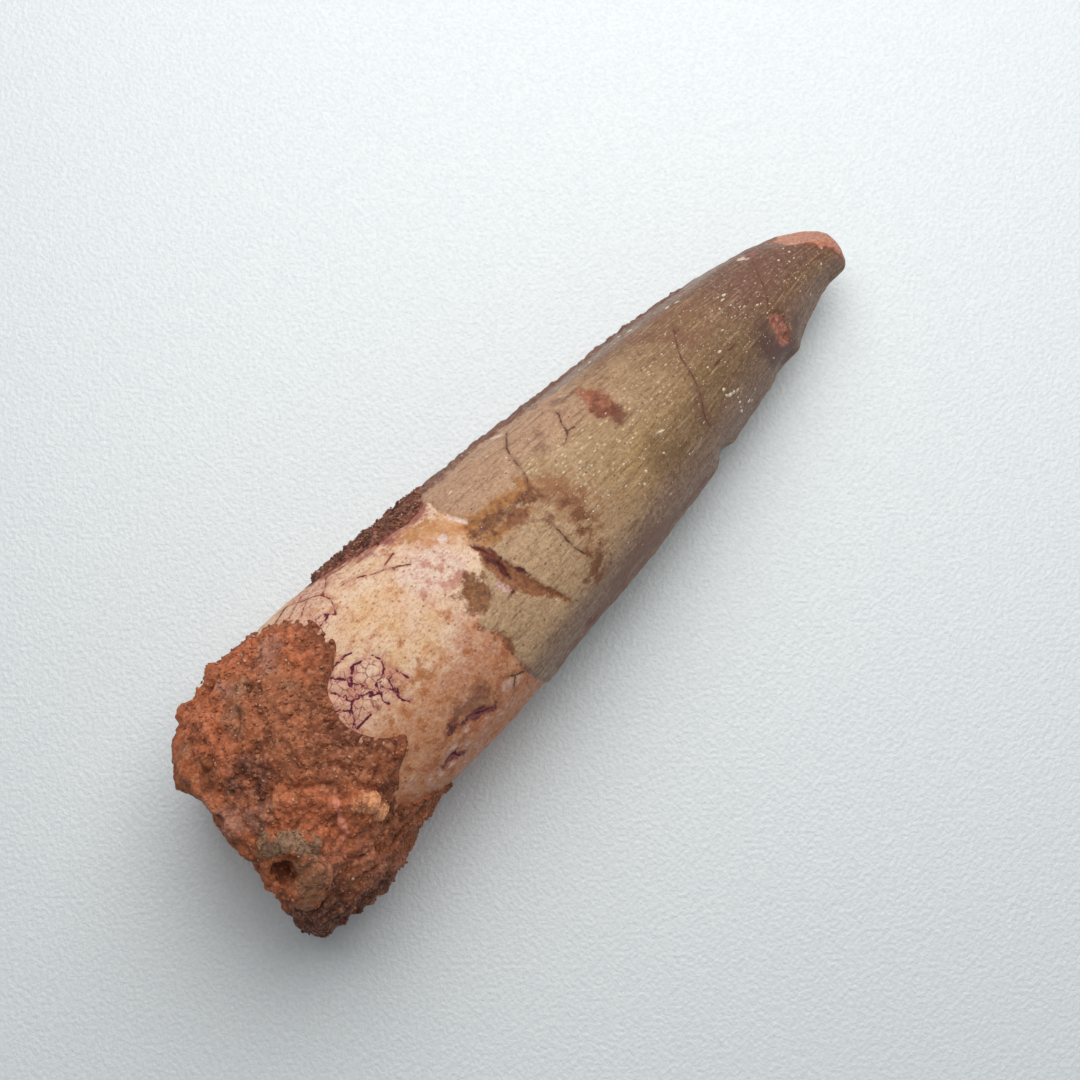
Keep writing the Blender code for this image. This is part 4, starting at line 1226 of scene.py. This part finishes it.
def crust_mesh(material):
    """The crust's skin, and the grid of its outside."""
    corners = np.array(CRUST_OUTLINE + CRUST_OUTLINE[:1], float)
    spokes = (corners - CRUST_MIDDLE) / (1, DEGREES_PER_MM)
    angle = np.unwrap(np.arctan2(spokes[:, 1], spokes[:, 0]))
    order = np.argsort(angle)
    at = np.linspace(angle.min(), angle.max(), CRUST_TURNS, endpoint=False)
    radius = np.interp(at, angle[order], np.linalg.norm(spokes, axis=1)[order]) + 0.4
    rim = np.stack([np.cos(at), np.sin(at), 0 * at], axis=1) * 8
    radius += 0.35 * noise_at(rim, 1.1) + 0.25 * noise_at(rim, 0.5)
    radius += 1.6 * noise_at(rim, 4.0) * smooth(0.0, 0.5, np.sin(at))
    share = np.linspace(0.02, 1, CRUST_RINGS)[:, None]
    x = (CRUST_MIDDLE[0] + share * radius * np.cos(at)).ravel()
    turn = (CRUST_MIDDLE[1] + DEGREES_PER_MM * share * radius * np.sin(at)).ravel()
    plain = oval(x, turn, TOOTH)
    inside = ((1 - share) * radius).ravel()
    height = 0.5 * smooth(0.0, 2.0, inside + 0.5 * noise_at(plain, 1.2)) + 0.05
    uneven = 0.24 * (pebbles_at(plain, 0.6) - 0.4)
    uneven += 0.4 * noise_at(plain, 1.2) + 0.14 * noise_at(plain, 0.5)
    height += uneven * smooth(0.0, 0.8, inside)
    shape = (CRUST_RINGS, CRUST_TURNS, 3)
    top = oval(x, turn, TOOTH, 1.0, height).reshape(shape)
    low = oval(x, turn, TOOTH, 1.0, -0.4).reshape(shape)
    poles = np.array([top[0].mean(axis=0), low[0].mean(axis=0)])
    inside = inside.reshape(shape[:2])
    below = low[::-6]
    fields = {
        "inside": np.concatenate([inside, inside[::-6]]).ravel(),
        "height": np.concatenate([height - 0.45, np.zeros(below.size // 3)]),
    }
    whole = np.concatenate([top, below])
    return closed_grid("edge_sand", whole, poles, fields, material), top, fields


def crust_surface():
    marks = [
        ("inside", 0.9, 0.1, 1.0, (128, 62, 60), (110, 66, 58), 0.75),
    ]
    return stone_surface("crust", (100, 66, 60), (70, 44, 42), marks, [])


# Stage

LENS_MM, SENSOR_MM = 60.0, 36.0
CAMERA_ROUND, CAMERA_UP = math.radians(-45.0), math.radians(78.0)
CAMERA_AIM = Vector((-0.73, 0.34, 8.0)) * MM
CAMERA_AWAY = 177.34 * MM
LAMP_PLACE = Vector((0.0791, 0.0664, 0.1942))
LAMP_SIDE = 0.25
LAMP_POWER = 0.57
LAMP_COLOUR = (1.0, 0.99, 0.97)
ROOM_LIGHT = 0.08
ROOM_COLOUR = (0.93, 0.97, 1.0, 1.0)
# Far from the object the floor and the wall glow, so that the room stays pale
GLOW, GLOW_FROM_MM, GLOW_FULL_MM = 0.14, 130.0, 700.0
FLOOR_SPOKES, FLOOR_RADIUS, FLOOR_BEND, WALL_TOP = 64, 1.0, 0.6, 1.6


def stand(thing, place, back):
    """Puts a camera or a lamp at a place, with its back that way."""
    thing.location = place
    thing.rotation_mode = "QUATERNION"
    thing.rotation_quaternion = (-back).to_track_quat("-Z", "Y")


def make_camera():
    lens = bpy.data.cameras.new("camera")
    lens.lens = LENS_MM
    lens.sensor_width = SENSOR_MM
    lens.clip_start, lens.clip_end = 0.01, 20.0
    level = math.cos(CAMERA_UP)
    back = Vector((math.sin(CAMERA_ROUND) * level, -math.cos(CAMERA_ROUND) * level, math.sin(CAMERA_UP)))
    camera = into_scene("camera", lens)
    stand(camera, CAMERA_AIM + back * CAMERA_AWAY, back)
    bpy.context.scene.camera = camera


def make_lights():
    world = bpy.data.worlds.new("room")
    bpy.context.scene.world = world
    world.use_nodes = True
    background = world.node_tree.nodes["Background"].inputs
    background["Color"].default_value = ROOM_COLOUR
    background["Strength"].default_value = ROOM_LIGHT

    key = bpy.data.lights.new("key", "AREA")
    key.shape = "RECTANGLE"
    key.size, key.size_y = LAMP_SIDE, LAMP_SIDE
    key.energy = LAMP_POWER
    key.color = LAMP_COLOUR
    stand(into_scene("key", key), LAMP_PLACE, LAMP_PLACE)


def floor_surface():
    s = Surface("floor")
    colour = s.mix(s.mottle, (234, 239, 241), (228, 234, 237))
    rough = s.math("MULTIPLY_ADD", s.mottle, 0.1, 0.38)
    far = s.step(s.vector("LENGTH", s.at), GLOW_FROM_MM, GLOW_FULL_MM)
    s.put(s.shader.inputs["Emission Color"], ROOM_COLOUR)
    s.put(s.shader.inputs["Emission Strength"], s.times(far, GLOW))
    s.material.cycles.emission_sampling = "NONE"
    return s.finished(colour, rough, 0.5, s.noise(0.45, 2, 0.5), 0.12)


def make_floor(material):
    """A disc that curves up into a wall all round."""
    rings = [(share * FLOOR_RADIUS, 0.0) for share in (0.1, 0.3, 0.6, 1.0)]
    for a in np.radians(np.linspace(8, 90, 12)):
        rings.append((FLOOR_RADIUS + FLOOR_BEND * math.sin(a), FLOOR_BEND * (1 - math.cos(a))))
    rings.append((FLOOR_RADIUS + FLOOR_BEND, WALL_TOP))
    points, faces = [(0.0, 0.0, 0.0)], []
    for radius, height in rings:
        for a in np.linspace(0, 2 * math.pi, FLOOR_SPOKES, endpoint=False):
            points.append((radius * math.cos(a), radius * math.sin(a), height))
    for k in range(FLOOR_SPOKES):
        onward = (k + 1) % FLOOR_SPOKES
        faces.append((0, 1 + k, 1 + onward))
        for ring in range(len(rings) - 1):
            low, high = 1 + ring * FLOOR_SPOKES, 1 + (ring + 1) * FLOOR_SPOKES
            faces.append((low + k, high + k, high + onward, low + onward))
    data = bpy.data.meshes.new("floor")
    data.from_pydata(points, [], faces)
    data.shade_smooth()
    data.materials.append(material)
    floor = into_scene("floor", data)


bpy.context.scene.view_settings.view_transform = "Standard"
bpy.context.scene.view_settings.look = "None"
make_camera()
make_lights()
make_floor(floor_surface())

tooth = tooth_mesh(tooth_surface())
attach(tooth, "root")
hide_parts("tooth")

specks = pale_specks(speck_surface())
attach(specks, "root")

matrix_material = matrix_surface()
matrix, matrix_grid, matrix_fields = matrix_mesh(matrix_material)
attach(matrix, "root")
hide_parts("matrix")

grains = sand(
    "matrix_sand", matrix_grid, SAND_GRAINS, SAND_RADIUS, matrix_fields, matrix_material
)
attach(grains, "root")

loose = crumbs(matrix_material)
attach(loose, "root")

crust_material = crust_surface()
crust, crust_grid, crust_fields = crust_mesh(crust_material)
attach(crust, "root")
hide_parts("edge_crust")

crust_sand = sand(
    "edge_sand_grains", crust_grid[:-2], CRUST_GRAINS, CRUST_RADIUS, crust_fields, crust_material
)
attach(crust_sand, "root")
